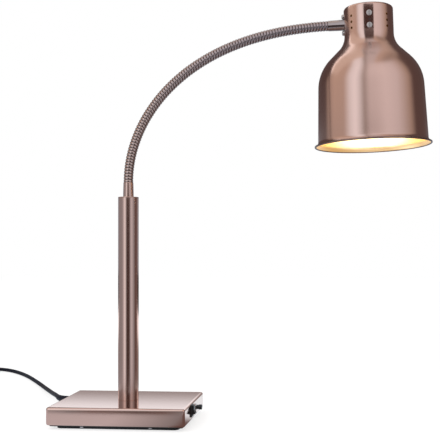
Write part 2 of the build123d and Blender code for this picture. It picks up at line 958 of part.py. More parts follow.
# Dimmer: a potentiometer on the side wall, held by its bushing's nut
def dimmer_body():
    back = wall_right_inside - dimmer_box_depth
    half_width = dimmer_box_width / 2
    half_height = dimmer_box_height / 2
    box = block(
        back,
        wall_right_inside - sheet_gap,
        dimmer_y - half_width,
        dimmer_y + half_width,
        dimmer_z - half_height,
        dimmer_z + half_height,
    )
    box = fillet(box.edges().filter_by(Axis.X), dimmer_box_round)
    bushing_end = base_sheet + bushing_reach
    bushing = along_x(
        rod(bushing_radius, -bushing_root, bushing_end), wall_right_inside, dimmer_y, dimmer_z
    )
    bore = along_x(
        rod(shaft_radius + running_clearance, -shaft_bore_depth, bushing_end + drill_overrun),
        wall_right_inside,
        dimmer_y,
        dimmer_z,
    )
    return box + bushing - bore


def dimmer_nut():
    nut = hexagon(dimmer_nut_flats, 0, dimmer_nut_thickness, bushing_radius + fastener_clearance)
    return along_x(nut, wall_right, dimmer_y, dimmer_z)


def dimmer_shaft():
    start = wall_right_inside - shaft_bore_depth + shaft_end_play
    end = wall_right + bushing_reach + knob_gap + knob_length - knob_crown - fastener_clearance
    return along_x(rod(shaft_radius, 0, end - start), start, dimmer_y, dimmer_z)


def dimmer_knob():
    knob = rod(knob_radius, 0, knob_length)
    knob = fillet(knob.edges().sort_by(Axis.Z)[-1], knob_round)
    knob -= rod(shaft_radius + running_clearance, 0, knob_length - knob_crown)
    mark_half = knob_mark_width / 2
    knob -= block(0, knob_radius, -mark_half, mark_half, knob_length - knob_mark_width, knob_length)
    return along_x(knob, wall_right + bushing_reach + knob_gap, dimmer_y, dimmer_z)


# Mains cord
def relief_plane(distance):
    """The plane square to the strain relief's bend at a distance from the wall."""
    turned = distance / relief_bend_radius
    x = wall_left - relief_bend_radius * sin(turned)
    y = outlet_y + relief_bend_radius * (1 - cos(turned))
    direction = (-cos(turned), sin(turned), 0)
    return Plane(origin=(x, y, outlet_z), x_dir=(0, 0, 1), z_dir=direction)


def relief_length():
    return relief_bend_radius * radians(relief_turn)


def relief_arc():
    length = relief_length()
    return ThreePointArc(*[relief_plane(share * length).origin for share in (0, 0.5, 1)])


def cord_strain_relief():
    length = relief_length()
    sections = []
    for step in range(relief_steps + 1):
        share = step / relief_steps
        radius = relief_wide_radius + (relief_narrow_radius - relief_wide_radius) * share
        sections.append((relief_plane(share * length) * Circle(radius)).face())
    sleeve = loft(sections, ruled=True)
    sleeve -= swept_round(cord_radius + fastener_clearance, relief_arc())
    flange = rod(relief_flange_radius, -relief_flange_thickness, 0)
    collar = rod(relief_collar_radius, 0, relief_collar_length)
    root = flange + collar
    root -= rod(cord_radius + fastener_clearance, -relief_flange_thickness, relief_collar_length)
    return sleeve + along_x(root, wall_left, outlet_y, outlet_z)


def gland_nut():
    nut = hexagon(gland_nut_flats, 0, gland_nut_thickness, relief_collar_radius + fastener_clearance)
    return along_x(nut, wall_left_inside, outlet_y, outlet_z)


def mains_lead():
    """The cord's held stretch: through the strain relief and along the rear wall to the block."""
    channel_y = (ballast_depth / 2 + base_depth / 2 - base_sheet) / 2
    block_middle = block_left + block_length / 2
    points = (
        (wall_left, outlet_y, outlet_z),
        (wall_left + lead_straight_in, outlet_y, outlet_z),
        (wall_left + lead_straight_in + lead_crossing, channel_y, outlet_z),
        (block_middle, channel_y, outlet_z),
        (block_middle, block_width / 2 + lead_straight_in, wire_level),
        (block_middle, block_width / 2, wire_level),
    )
    bends = (lead_wide_bend, lead_wide_bend, lead_tight_bend, lead_tight_bend)
    inside = FilletPolyline(*points, radius=list(bends))
    start = Plane(origin=points[0], z_dir=(1, 0, 0))
    length = relief_length()
    relief_stretch = swept_round(cord_radius, relief_arc())
    print("strain relief", round(length, 1), "mm long")
    return relief_stretch + sweep(start * Circle(cord_radius), path=inside)


def cord_points():
    end = relief_plane(relief_length())
    return [end.origin, end.origin + end.z_dir * cord_first_run] + [Vector(*point) for point in cord_route]


def tube_report(name, tube, path):
    ratio = tube.volume / (pi * cord_radius**2 * path.length)
    print(name, "length", round(path.length), "mm, volume over section times length", round(ratio, 4))


def power_cord():
    path = easy_path("power_cord", cord_points())
    tube = swept_round(cord_radius, path)
    tube_report("power_cord", tube, path)
    return tube


def coil_start():
    """Where the coil begins, and the heading of the cord's last run, in radians."""
    before, last = Vector(*cord_route[-2]), Vector(*cord_route[-1])
    run = last - before
    return last, atan2(run.Y, run.X)


def coil_radius_and_level(turns):
    """The winding's radius and height: in, across the reversal, and out again a layer up."""
    inner = coil_outer_radius - coil_turn_pitch * coil_layer_turns
    if turns < coil_layer_turns:
        return coil_outer_radius - coil_turn_pitch * turns, 0.0
    over = turns - coil_layer_turns
    if over > coil_reversal_turns:
        return inner + coil_turn_pitch * (over - coil_reversal_turns), coil_layer_pitch
    share = over / coil_reversal_turns
    dip = coil_turn_pitch * coil_reversal_turns * share * (1 - share)
    return inner - dip, coil_layer_pitch * share * share * (3 - 2 * share)


def coil_place():
    start, heading = coil_start()
    slope = atan2(coil_turn_pitch / (2 * pi), coil_outer_radius)
    first_angle = heading - pi / 2 - slope
    run = Vector(cos(heading), sin(heading)) * (2 * cord_radius)
    entry = start + run
    centre = entry - Vector(cos(first_angle), sin(first_angle)) * coil_outer_radius
    return centre, first_angle


def coil_point(turns):
    centre, first_angle = coil_place()
    radius, level = coil_radius_and_level(turns)
    angle = first_angle + 2 * pi * turns
    return centre + Vector(radius * cos(angle), radius * sin(angle), level)


def coil_tangent(turns):
    step = 1e-4
    return (coil_point(turns + step) - coil_point(turns - step)).normalized()


def coil_turns():
    return 2 * coil_layer_turns + coil_reversal_turns


def biarc(start, start_tangent, end, end_tangent):
    """Two arcs that leave the first point and reach the second along the given tangents."""
    span = end - start
    both = start_tangent + end_tangent
    a = 2 * (1 - start_tangent.dot(end_tangent))
    b = 2 * span.dot(both)
    c = -span.dot(span)
    reach = (-b + sqrt(b * b - 4 * a * c)) / (2 * a)
    joint = ((start + start_tangent * reach) + (end - end_tangent * reach)) / 2
    joint_tangent = (end - end_tangent * reach) - (start + start_tangent * reach)
    first = Edge.make_tangent_arc(start, start_tangent, joint)
    return [first, Edge.make_tangent_arc(joint, joint_tangent.normalized(), end)]


def coil_path():
    quarters = round(4 * coil_turns())
    edges = []
    for quarter in range(quarters):
        low, high = quarter / 4, (quarter + 1) / 4
        edges += biarc(coil_point(low), coil_tangent(low), coil_point(high), coil_tangent(high))
    straight = 2 * cord_radius
    lead_in = Edge.make_line(coil_point(0) - coil_tangent(0) * straight, coil_point(0))
    last = coil_point(coil_turns())
    lead_out = Edge.make_line(last, last + coil_tangent(coil_turns()) * straight)
    return Wire([lead_in] + edges + [lead_out])


def least_self_gap():
    """The winding's least gap to itself, measured between points a third of a turn or more apart."""
    steps_per_turn = 36
    count = round(coil_turns() * steps_per_turn)
    points = [coil_point(step / steps_per_turn) for step in range(count + 1)]
    least = 1e9
    for i, here in enumerate(points):
        for there in points[i + steps_per_turn // 3:]:
            least = min(least, (here - there).length)
    return least - 2 * cord_radius


def power_cord_coil():
    path = coil_path()
    tube = swept_round(cord_radius, path)
    tube_report("power_cord_coil", tube, path)
    print("power_cord_coil least gap to itself", round(least_self_gap(), 2), "mm")
    return tube


def tail_points():
    leaving = coil_tangent(coil_turns())
    start = coil_point(coil_turns()) + leaving * (2 * cord_radius)
    return [start, start + leaving * tail_first_run] + [Vector(*point) for point in tail_route]


def power_cord_tail():
    path = easy_path("power_cord_tail", tail_points())
    tube = swept_round(cord_radius, path)
    tube_report("power_cord_tail", tube, path)
    return tube


# Mains plug: built along +X from the cord's end, then turned into the tail's last direction
def plug_place():
    before, last = Vector(*tail_route[-2]), Vector(*tail_route[-1])
    run = last - before
    return Pos(*last) * Rot(0, 0, degrees(atan2(run.Y, run.X)))


def plug_body():
    points = (
        (0, 0),
        (plug_tail_radius, 0),
        (plug_tail_radius + plug_tail_flare, plug_tail_length),
        (plug_radius - plug_grip_hollow, plug_grip_length),
        (plug_radius, plug_grip_length + plug_shoulder),
        (plug_radius, plug_face),
        (0, plug_face),
    )
    rounds = (plug_tail_round, plug_grip_round, plug_tail_round, plug_shoulder_round, plug_face_round)
    outline = FilletPolyline(*points, radius=list(rounds))
    body = revolve(Plane.XZ * make_face(outline + Line(points[-1], points[0])), axis=Axis.Z)
    hole = rod(pin_root_radius + pin_clearance, plug_face - pin_root_depth, plug_face)
    for side in (-1, 1):
        body -= Pos(0, side * pin_spacing / 2, 0) * hole
    return plug_place() * along_x(body)


def plug_pins():
    pin = rod(pin_radius, plug_face + pin_root_gap, plug_face + pin_length)
    pin = chamfer(pin.edges().sort_by(Axis.Z)[-1], pin_tip_chamfer)
    root_start = plug_face - pin_root_depth + fastener_clearance
    pin += rod(pin_root_radius, root_start, plug_face + pin_root_gap)
    return plug_place() * along_x(gather(Pos(0, side * pin_spacing / 2, 0) * pin for side in (-1, 1)))


# Terminal block and its wires
def terminal_block():
    low, high = base_bottom, base_bottom + block_height
    body = block(block_left, block_left + block_length, -block_width / 2, block_width / 2, low, high)
    body = fillet(body.edges().filter_by(Axis.Z), block_round)
    seat = high - terminal_sink
    head_hole = rod(terminal_screw_head_radius + fastener_clearance, seat, high)
    shank_hole = rod(terminal_screw_radius + fastener_clearance, seat - terminal_screw_length, high)
    for x, y in terminal_places():
        body -= Pos(x, y, 0) * head_hole
        body -= Pos(x, y, 0) * shank_hole
    return body


def terminal_places():
    middle = block_left + block_length / 2
    places = []
    for side in (-1, 1):
        places += [(middle + terminal_offset * side, row * terminal_pitch) for row in (-1, 0, 1)]
    return places


def terminal_screws():
    seat = base_bottom + block_height - terminal_sink
    screw = domed_screw(
        terminal_screw_head_radius,
        terminal_screw_head_height,
        terminal_screw_radius,
        terminal_screw_length - end_gap,
    )
    return gather(Pos(x, y, seat) * screw for x, y in terminal_places())


def base_wires():
    """Two wires to the switch's blades and two to the dimmer."""
    start_x = block_left + block_length
    blade_x = wall_right - switch_box_depth - blade_length
    dimmer_x = wall_right_inside - dimmer_box_depth
    routes = []
    for side in (-1, 1):
        start = (start_x, switch_wire_y + side * switch_wire_spread, wire_level)
        end = (blade_x, switch_y + side * blade_wire_spread, switch_z + side * blade_spread)
        routes.append((start, end))
        start = (start_x, dimmer_wire_y + side * switch_wire_spread, wire_level)
        end = (dimmer_x, dimmer_y + side * dimmer_wire_spread, wire_level + dimmer_wire_rise)
        routes.append((start, end))
    wires = []
    for start, end in routes:
        first = (start[0] + wire_straight, start[1], start[2])
        last = (end[0] - wire_straight, end[1], end[2])
        path = FilletPolyline(start, first, last, end, radius=wire_bend)
        wires.append(swept_round(wire_radius, path))
    return gather(wires)


nodes = {
    "base_housing": base_housing,
    "bottom_plate": bottom_plate,
    "base_pad": base_pad,
    "plate_screws": plate_screws,
    "ballast_plate": ballast_plate,
    "ballast_nuts": ballast_nuts,
    "column_tube": column_tube,
    "column_base_plug": column_base_plug,
    "column_washer": column_washer,
    "column_lock_nut": column_lock_nut,
    "column_cap": column_cap,
    "column_lead": column_lead,
    "lower_ferrule": lower_ferrule,
    "head_sleeve": head_sleeve,
    "head_lead": head_lead,
    "shade": shade,
    "arm_bracket": arm_bracket,
    "arm_screws": arm_screws,
    "holder_bracket": holder_bracket,
    "bracket_screws": bracket_screws,
    "lampholder_body": lampholder_body,
    "lampholder_shell": lampholder_shell,
    "lampholder_contact": lampholder_contact,
    "holder_nut": holder_nut,
    "bulb_envelope": bulb_envelope,
    "bulb_cap": bulb_cap,
    "switch_body": switch_body,
    "switch_terminals": switch_terminals,
    "rocker": rocker,
    "dimmer_body": dimmer_body,
    "dimmer_nut": dimmer_nut,
    "dimmer_shaft": dimmer_shaft,
    "dimmer_knob": dimmer_knob,
    "cord_strain_relief": cord_strain_relief,
    "gland_nut": gland_nut,
    "mains_lead": mains_lead,
    "power_cord": power_cord,
    "power_cord_coil": power_cord_coil,
    "power_cord_tail": power_cord_tail,
    "plug_body": plug_body,
    "plug_pins": plug_pins,
    "terminal_block": terminal_block,
    "terminal_screws": terminal_screws,
    "base_wires": base_wires,
}

for name, make in nodes.items():
    export_step(make(), f"parts/{name}.step")

for link in range(neck_links):
    export_step(neck_link(link), f"parts/neck_link_{link + 1:02d}.step")
    export_step(neck_lead(link), f"parts/neck_lead_{link + 1:02d}.step")
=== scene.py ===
# %% [markdown]
# # A food heat lamp with a flexible neck
# The lamp is a weighted box with a steel column, a ribbed neck that stays where it is bent, and a
# spun shade over a reflector bulb. Nearly everything is copper-coloured metal, so the picture is
# made of reflections. This lesson starts with the construction model, puts the camera and the
# cord in place, then makes the pieces that the eye looks at, and last the finishes and the studio.

import json
from math import atan2, cos, degrees, hypot, pi, radians, sin, tan

import bmesh
import bpy
from mathutils import Matrix, Vector

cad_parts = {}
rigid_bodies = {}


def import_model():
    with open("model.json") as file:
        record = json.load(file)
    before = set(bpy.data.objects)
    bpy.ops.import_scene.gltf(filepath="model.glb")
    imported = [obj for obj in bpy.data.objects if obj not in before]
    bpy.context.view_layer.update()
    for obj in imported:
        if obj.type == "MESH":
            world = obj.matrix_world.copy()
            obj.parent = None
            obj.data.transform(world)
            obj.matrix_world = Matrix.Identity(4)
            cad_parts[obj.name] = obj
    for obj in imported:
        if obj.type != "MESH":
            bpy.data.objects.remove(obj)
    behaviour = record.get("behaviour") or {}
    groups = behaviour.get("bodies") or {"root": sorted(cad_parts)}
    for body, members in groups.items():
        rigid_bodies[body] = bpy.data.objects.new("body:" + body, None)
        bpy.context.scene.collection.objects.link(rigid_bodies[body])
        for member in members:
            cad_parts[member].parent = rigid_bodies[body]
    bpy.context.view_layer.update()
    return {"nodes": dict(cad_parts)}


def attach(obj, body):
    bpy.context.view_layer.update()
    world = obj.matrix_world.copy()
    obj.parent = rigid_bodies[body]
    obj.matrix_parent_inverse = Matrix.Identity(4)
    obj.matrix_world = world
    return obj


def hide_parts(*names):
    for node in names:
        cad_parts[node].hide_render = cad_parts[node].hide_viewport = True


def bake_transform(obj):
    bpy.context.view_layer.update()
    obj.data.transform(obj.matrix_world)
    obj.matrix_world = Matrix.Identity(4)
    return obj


for spare in list(bpy.data.objects):
    bpy.data.objects.remove(spare)
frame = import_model()
nodes = frame["nodes"]
MM = 0.001

# %% [markdown]
# ## The camera
# The picture was taken from the front, to the right of the column and a little below the middle
# of the lamp. A level camera keeps the column upright, and the small shift puts the lamp in the
# frame as the photographer cropped it.

# %% Camera
camera_place = (0.34274, -1.30825, 0.26771)
camera_turn = 4.73
camera_lens = 69.04
camera_sensor = 36.0
camera_shift = (-0.1293, 0.0652)

camera_data = bpy.data.cameras.new("camera")
camera_data.lens = camera_lens
camera_data.sensor_width = camera_sensor
camera_data.shift_x, camera_data.shift_y = camera_shift
camera = bpy.data.objects.new("camera", camera_data)
camera.location = camera_place
camera.rotation_euler = (radians(90), 0.0, radians(camera_turn))
bpy.context.scene.collection.objects.link(camera)
bpy.context.scene.camera = camera
print("camera lens", camera_lens, "mm at", camera_place)

# %% [markdown]
# ## Working as by hand
# An operator works on everything that is selected, so each piece begins with nothing selected. A
# finished piece gets its place in its mesh and its object stays at the origin, because every
# pattern on it is measured from there. Modifiers are applied as soon as they are set.

# %% Select, place and finish


def nothing_selected():
    bpy.ops.object.select_all(action="DESELECT")


def only(piece):
    nothing_selected()
    piece.select_set(True)
    bpy.context.view_layer.objects.active = piece


def put(piece, place):
    """Moves a finished piece to its place, and leaves its object at the origin."""
    only(piece)
    piece.matrix_world = place @ piece.matrix_world
    bpy.ops.object.transform_apply(location=True, rotation=True, scale=True)
    return piece


def finish_modifier(piece, kind, **settings):
    only(piece)
    modifier = piece.modifiers.new(kind.lower(), kind)
    for setting, value in settings.items():
        setattr(modifier, setting, value)
    bpy.ops.object.modifier_apply(modifier=modifier.name)


def report(piece):
    print(piece.name, len(piece.data.polygons), "faces")


print("ready to select, place and finish")

# %% [markdown]
# ## Outlines with soft corners
# Turned metal has no truly sharp edge, and an edge without its small rounding catches no light.
# A Bevel modifier could round the edges of a finished piece, but all by one width. So an outline
# is given as a few corners with a radius for each, and goes round them in short steps. Smooth
# shading would spread the slant of a rounding over the long run beside it, and bend the
# reflections there. One more ring close to each end of the run stops that.

# %% Outlines
support_distance = 0.4
shortest_run = 6 * support_distance


def eased(points, radii, steps=4):
    """A line of radius and height whose inner corners are rounded."""
    line = [Vector(points[0])]
    corners = zip(points, points[1:], points[2:], radii)
    for before, corner, after, radius in corners:
        corner = Vector(corner)
        arrive = (corner - Vector(before)).normalized()
        leave = (Vector(after) - corner).normalized()
        turn = arrive.angle_signed(leave)
        reach = radius * tan(abs(turn) / 2)
        middle = corner + (leave - arrive).normalized() * radius / cos(turn / 2)
        start = corner - arrive * reach - middle
        for step in range(steps + 1):
            line.append(middle + Matrix.Rotation(-turn * step / steps, 2) @ start)
    line.append(Vector(points[-1]))
    return line


def supported(line):
    """Two more rings on each long run, close to its ends."""
    held = [line[0]]
    for before, after in zip(line, line[1:]):
        length = (after - before).length
        if length > shortest_run:
            share = support_distance / length
            held += [before.lerp(after, share), before.lerp(after, 1 - share)]
        held.append(after)
    return held


print("runs over", round(shortest_run, 2), "mm get a ring", support_distance, "mm from each end")

# %% [markdown]
# ## Turning on a lathe
# Most of the lamp was made on a lathe. The same is done here: a circle is added, then pulled up
# its axis and widened or narrowed, ring after ring, until it has the outline of the piece. A
# Screw modifier on a drawn line would do as well, but a pulled ring can be found again by its
# place, and that is how the first and the last ring are closed with a face.

# %% Rings
same_place = 0.00001
turned_edge_angle = 32.0


def pulled_ring(name, line, segments):
    """A circle pulled along an outline of radius and height in millimetres, left in edit mode."""
    nothing_selected()
    radius, height = line[0]
    bpy.ops.mesh.primitive_circle_add(
        vertices=segments, radius=radius * MM, location=(0, 0, height * MM)
    )
    piece = bpy.context.object
    piece.name = name
    bpy.ops.object.transform_apply()
    bpy.ops.object.mode_set(mode="EDIT")
    bpy.ops.mesh.select_all(action="SELECT")
    for (wide, low), (next_wide, high) in zip(line, line[1:]):
        rise = (0, 0, (high - low) * MM)
        bpy.ops.mesh.extrude_region_move(TRANSFORM_OT_translate={"value": rise})
        ratio = next_wide / wide
        bpy.ops.transform.resize(value=(ratio, ratio, 1))
    return piece


def pick_ring(piece, radius, height):
    mesh = bmesh.from_edit_mesh(piece.data)
    for vertex in mesh.verts:
        off_height = abs(vertex.co.z - height * MM)
        off_radius = abs(hypot(vertex.co.x, vertex.co.y) - radius * MM)
        vertex.select = max(off_height, off_radius) < same_place
    mesh.select_flush_mode()
    bmesh.update_edit_mesh(piece.data)


def capped(piece, *rings):
    """Closes a piece that is in edit mode with a face at each ring, all faces outwards."""
    for radius, height in rings:
        pick_ring(piece, radius, height)
        bpy.ops.mesh.edge_face_add()
    bpy.ops.mesh.select_all(action="SELECT")
    bpy.ops.mesh.normals_make_consistent(inside=False)
    bpy.ops.object.mode_set(mode="OBJECT")


def turned(name, line, segments):
    """A closed turned piece."""
    piece = pulled_ring(name, line, segments)
    capped(piece, line[0], line[-1])
    bpy.ops.object.shade_smooth_by_angle(angle=radians(turned_edge_angle))
    return piece


print("ready to turn; edges over", turned_edge_angle, "degrees stay sharp")

# %% [markdown]
# ## The mains cord
# The cord leaves a bent strain relief on the left wall, sags to the table and runs away behind
# the lamp. The points of this run are the ones that the construction model uses, in millimetres.

# %% The run that is seen
cord_radius = 3.75
cord_exit = Vector((-141.12, 83.06, 19.5))
cord_heading = Vector((-0.4924, 0.8704, 0.0))
cord_first_run = 26.0
cord_route = (
    (-172.5, 144.5, 15.0),
    (-197.9, 196.3, 10.8),
    (-224.3, 248.3, 7.0),
    (-249.8, 296.5, 4.9),
    (-283.0, 352.5, 3.85),
    (-313.7, 400.4, 3.85),
    (-341.0, 438.0, 3.85),
    (-366.1, 467.5, 3.85),
    (-388.0, 488.5, 3.85),
    (-407.0, 501.8, 3.85),
    (-429.1, 511.2, 3.85),
    (-450.6, 515.8, 3.85),
)
cord_points = [cord_exit, cord_exit + cord_heading * cord_first_run]
cord_points += [Vector(point) for point in cord_route]

# %% [markdown]
# ## The rest of the cord
# Nobody leaves spare cord in a heap on a counter. What the picture doesn't show lies in a neat
# coil in two layers: inwards on the table, up over half a turn, and outwards again. Radius and
# level are a formula of the number of turns, so no strand cuts through another.

# %% Coil and tail
tail_route = (
    (-515.9, 530.2, 14.6),
    (-545.8, 532.3, 18.5),
    (-570.8, 531.4, 18.5),
)
coil_outer_radius = 48.0
coil_turn_pitch = 8.2
coil_layer_pitch = 8.2
coil_layer_turns = 2.25
coil_reversal_turns = 0.5
coil_points_per_turn = 16
coil_end_run = 29.5
hair = 0.0001


def coil_centre_and_angle():
    before, last = Vector(cord_route[-2]), Vector(cord_route[-1])
    run = (last - before).normalized()
    heading = atan2(run.y, run.x)
    angle = heading - pi / 2 - atan2(coil_turn_pitch / (2 * pi), coil_outer_radius)
    entry = last + run * (2 * cord_radius)
    return entry - Vector((cos(angle), sin(angle), 0)) * coil_outer_radius, angle


def coil_radius_and_level(turns):
    inner = coil_outer_radius - coil_turn_pitch * coil_layer_turns
    if turns < coil_layer_turns:
        return coil_outer_radius - coil_turn_pitch * turns, 0.0
    over = turns - coil_layer_turns
    if over > coil_reversal_turns:
        return inner + coil_turn_pitch * (over - coil_reversal_turns), coil_layer_pitch
    share = over / coil_reversal_turns
    dip = coil_turn_pitch * coil_reversal_turns * share * (1 - share)
    return inner - dip, coil_layer_pitch * share * share * (3 - 2 * share)


def coil_point(turns):
    centre, first_angle = coil_centre_and_angle()
    radius, level = coil_radius_and_level(turns)
    angle = first_angle + 2 * pi * turns
    return centre + Vector((radius * cos(angle), radius * sin(angle), level))


coil_turns = 2 * coil_layer_turns + coil_reversal_turns
coil_steps = round(coil_turns * coil_points_per_turn)
cord_points += [coil_point(step / coil_points_per_turn) for step in range(coil_steps + 1)]
coil_end = coil_point(coil_turns)
coil_leaves = (coil_end - coil_point(coil_turns - hair)).normalized()
cord_points.append(coil_end + coil_leaves * coil_end_run)
cord_points += [Vector(point) for point in tail_route]
print("cord points", len(cord_points))

# %% [markdown]
# ## One curve for the whole cord
# A cable is one round section along one smooth line, and a curve with a bevel is just that. The
# points' radius sets the thickness, and filled caps close its ends.

# %% Cord
curve_steps = 6
section_steps = 6

cord_curve = bpy.data.curves.new("cord_run", "CURVE")
cord_curve.dimensions = "3D"
cord_line = cord_curve.splines.new("NURBS")
cord_line.points.add(len(cord_points) - 1)
for spline_point, point in zip(cord_line.points, cord_points):
    spline_point.co = (*(point * MM), 1.0)
    spline_point.radius = cord_radius * MM
cord_line.order_u = 3
cord_line.use_endpoint_u = True
cord_curve.resolution_u = curve_steps
cord_curve.bevel_depth = 1.0
cord_curve.bevel_resolution = section_steps
cord_curve.use_fill_caps = True
cord_run = bpy.data.objects.new("cord_run", cord_curve)
bpy.context.scene.collection.objects.link(cord_run)

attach(cord_run, "base")
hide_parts("power_cord", "power_cord_coil", "power_cord_tail")
print("cord curve of", len(cord_line.points), "points")

# %% [markdown]
# ## Where the neck goes
# The neck leaves the column's ferrule straight up and leans over to the shade in eight short
# links, each an arc that bends a little less than the one before. The head is built about the
# neck's end, with its X axis along the last link.

# %% Places along the neck
ferrule_top = 373.4
neck_length = 436.3
neck_links = 8
ribs_per_link = 12
first_link_bend = 16.57
link_bend_step = 1.597
link_length = neck_length / neck_links
rib_pitch = link_length / ribs_per_link
shade_axis = 62.2
arm_height = 188.0


def link_bend(link):
    return radians(first_link_bend - link_bend_step * link)


def neck_point(distance):
    """The neck's centre and heading at a distance from the ferrule, in millimetres and radians."""
    x, z, heading = 0.0, ferrule_top, pi / 2
    for link in range(neck_links):
        radius = link_length / link_bend(link)
        along = min(distance - link * link_length, link_length)
        turned_to = heading - along / radius
        x += radius * (sin(heading) - sin(turned_to))
        z += radius * (cos(turned_to) - cos(heading))
        heading = turned_to
        if along < link_length:
            break
    return Vector((x, 0, z)), heading


neck_end, head_heading = neck_point(neck_length)
head_place = Matrix.Translation(neck_end * MM) @ Matrix.Rotation(-head_heading, 4, "Y")
shade_place = head_place @ Matrix.Translation(Vector((shade_axis, 0, -arm_height)) * MM)
neck_end_text = [round(value, 2) for value in neck_end]
print("neck ends at", neck_end_text, "heading", round(degrees(head_heading), 3))

# %% [markdown]
# ## A line for the neck
# The neck is modelled straight and then bent, so it needs its centre line as a curve. Each link
# is an arc of a circle, and a Bezier segment with handles of the right length follows such an
# arc very closely.

# %% Neck line
line_steps = 48
nothing_selected()
bpy.ops.curve.primitive_bezier_curve_add(location=(0, 0, 0))
neck_line = bpy.context.object
neck_line.name = "neck_line"
neck_line.data.resolution_u = line_steps
bezier = neck_line.data.splines[0]
bezier.bezier_points.add(neck_links - 1)
for joint, knot in enumerate(bezier.bezier_points):
    centre, heading = neck_point(joint * link_length)
    along = Vector((cos(heading), 0, sin(heading)))
    knot.handle_left_type = knot.handle_right_type = "FREE"
    knot.co = centre * MM
    reaches = []
    for link in (max(joint - 1, 0), min(joint, neck_links - 1)):
        bend = link_bend(link)
        reaches.append(4 / 3 * tan(bend / 4) * link_length / bend)
    knot.handle_left = (centre - along * reaches[0]) * MM
    knot.handle_right = (centre + along * reaches[1]) * MM
print("neck line knots", len(bezier.bezier_points))

# %% [markdown]
# ## The ribbed neck
# A gooseneck is a round steel wire wound tight, so it shows as a row of rounded ribs. One rib is
# pulled from a circle, an Array modifier repeats it, and a Curve modifier bends the straight run
# along the neck. Before that, each point notes how deep it lies between the crests, as a number
# that the finish reads later to paint shade into the grooves.

# %% One rib, repeated and bent
rib_crest = 7.5
rib_groove = 6.4
rib_gap = 0.4
rib_fullness = 0.75
rib_steps = 10
rib_segments = 40
rib_edge_angle = 50.0
rib_merge_distance = 0.00001
seam_merge_distance = 0.000001


def rib_outline():
    half = (rib_pitch - rib_gap) / 2
    line = [(rib_groove, 0.0)]
    for step in range(rib_steps + 1):
        angle = pi * step / rib_steps
        rise = (rib_crest - rib_groove) * sin(angle) ** rib_fullness
        line.append((rib_groove + rise, rib_pitch / 2 - half * cos(angle)))
    return line + [(rib_groove, rib_pitch)]


def note_grooves(rib):
    groove = rib.data.attributes.new("groove", "FLOAT", "POINT")
    for vertex, depth in zip(rib.data.vertices, groove.data):
        out = hypot(vertex.co.x, vertex.co.y) / MM
        depth.value = (rib_crest - out) / (rib_crest - rib_groove)


def rib_run(name, ribs, start):
    """Some ribs in a row, bent along the neck from a distance on."""
    run = pulled_ring(name, rib_outline(), rib_segments)
    bpy.ops.object.mode_set(mode="OBJECT")
    note_grooves(run)
    finish_modifier(
        run,
        "ARRAY",
        count=ribs,
        use_relative_offset=False,
        use_constant_offset=True,
        constant_offset_displace=(0, 0, rib_pitch * MM),
        use_merge_vertices=True,
        merge_threshold=rib_merge_distance,
    )
    bpy.ops.object.mode_set(mode="EDIT")
    bpy.ops.mesh.select_all(action="SELECT")
    bpy.ops.mesh.remove_doubles(threshold=seam_merge_distance)
    capped(run, (rib_groove, 0.0), (rib_groove, ribs * rib_pitch))
    put(run, Matrix.Translation((start * MM, 0, 0)) @ Matrix.Rotation(pi / 2, 4, "Y"))
    finish_modifier(run, "CURVE", object=neck_line, deform_axis="POS_X")
    only(run)
    bpy.ops.object.shade_smooth_by_angle(angle=radians(rib_edge_angle))
    return run


print("a rib has", len(rib_outline()) * rib_segments, "points")

# %% [markdown]
# ## The neck in pieces
# The neck bends at its joints, from one body to the next. A piece that ended at a joint would
# open there. So the runs are cut in the middle of each link, and each middle run crosses one joint
# and stays where it was built. The first and last are half a link long and simply ride on the base
# and on the head.

# %% Ribs on the neck
neck_runs = []
for joint in range(neck_links + 1):
    start = max(joint - 0.5, 0) * link_length
    end = min(joint + 0.5, neck_links) * link_length
    run = rib_run(f"neck_run_{joint}", round((end - start) / rib_pitch), start)
    if joint == 0:
        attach(run, "base")
        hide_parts("neck_link_01")
    elif joint == neck_links:
        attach(run, "head")
        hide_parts("neck_link_08")
    else:
        first, last = neck_point(start)[0] * MM, neck_point(end)[0] * MM
        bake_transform(run)
        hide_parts(f"neck_link_{joint + 1:02d}")
    neck_runs.append(run)
bpy.data.objects.remove(neck_line)
print("neck runs", len(neck_runs), "of", [len(run.data.polygons) for run in neck_runs], "faces")

# %% [markdown]
# ## The spun shade
# The shade is one sheet, spun on a lathe: a plain neck, a full shoulder, a wall that widens a
# little and a flare that ends in a rolled lip. A Solidify modifier could thicken a single wall,
# but it wouldn't roll the lip. So the outline goes down the outside, round the lip and back up
# the inside, and the sheet has its real thickness. The vents and screw holes are drilled
# afterwards with a Boolean modifier.

# %% Shade
shade_sheet = 1.2
shade_height = 212.0
shade_segments = 160
lip_radius = 1.5
lip_centre = Vector((88.5, 1.5))
lip_start, lip_end = radians(133.0), radians(-173.9)
lip_steps = 14
pole_radius = 1.5
shade_corners = (
    (pole_radius, shade_height),
    (37.7, shade_height),
    (37.7, 157.0),
    (79.9, 115.6),
    (84.3, 6.0),
    tuple(lip_centre),
)
shade_corner_radii = (4.0, 33.0, 62.0, 7.0)
shade_corner_steps = 12
longest_run = 9.0


def add_rings(line):
    """More points on the long straight runs, so that drilled holes don't pull on far corners."""
    filled = [line[0]]
    for before, after in zip(line, line[1:]):
        parts = max(1, round((after - before).length / longest_run))
        filled += [before.lerp(after, part / parts) for part in range(1, parts + 1)]
    return filled


def on_lip(angle):
    return lip_centre + Vector((cos(angle), sin(angle))) * lip_radius


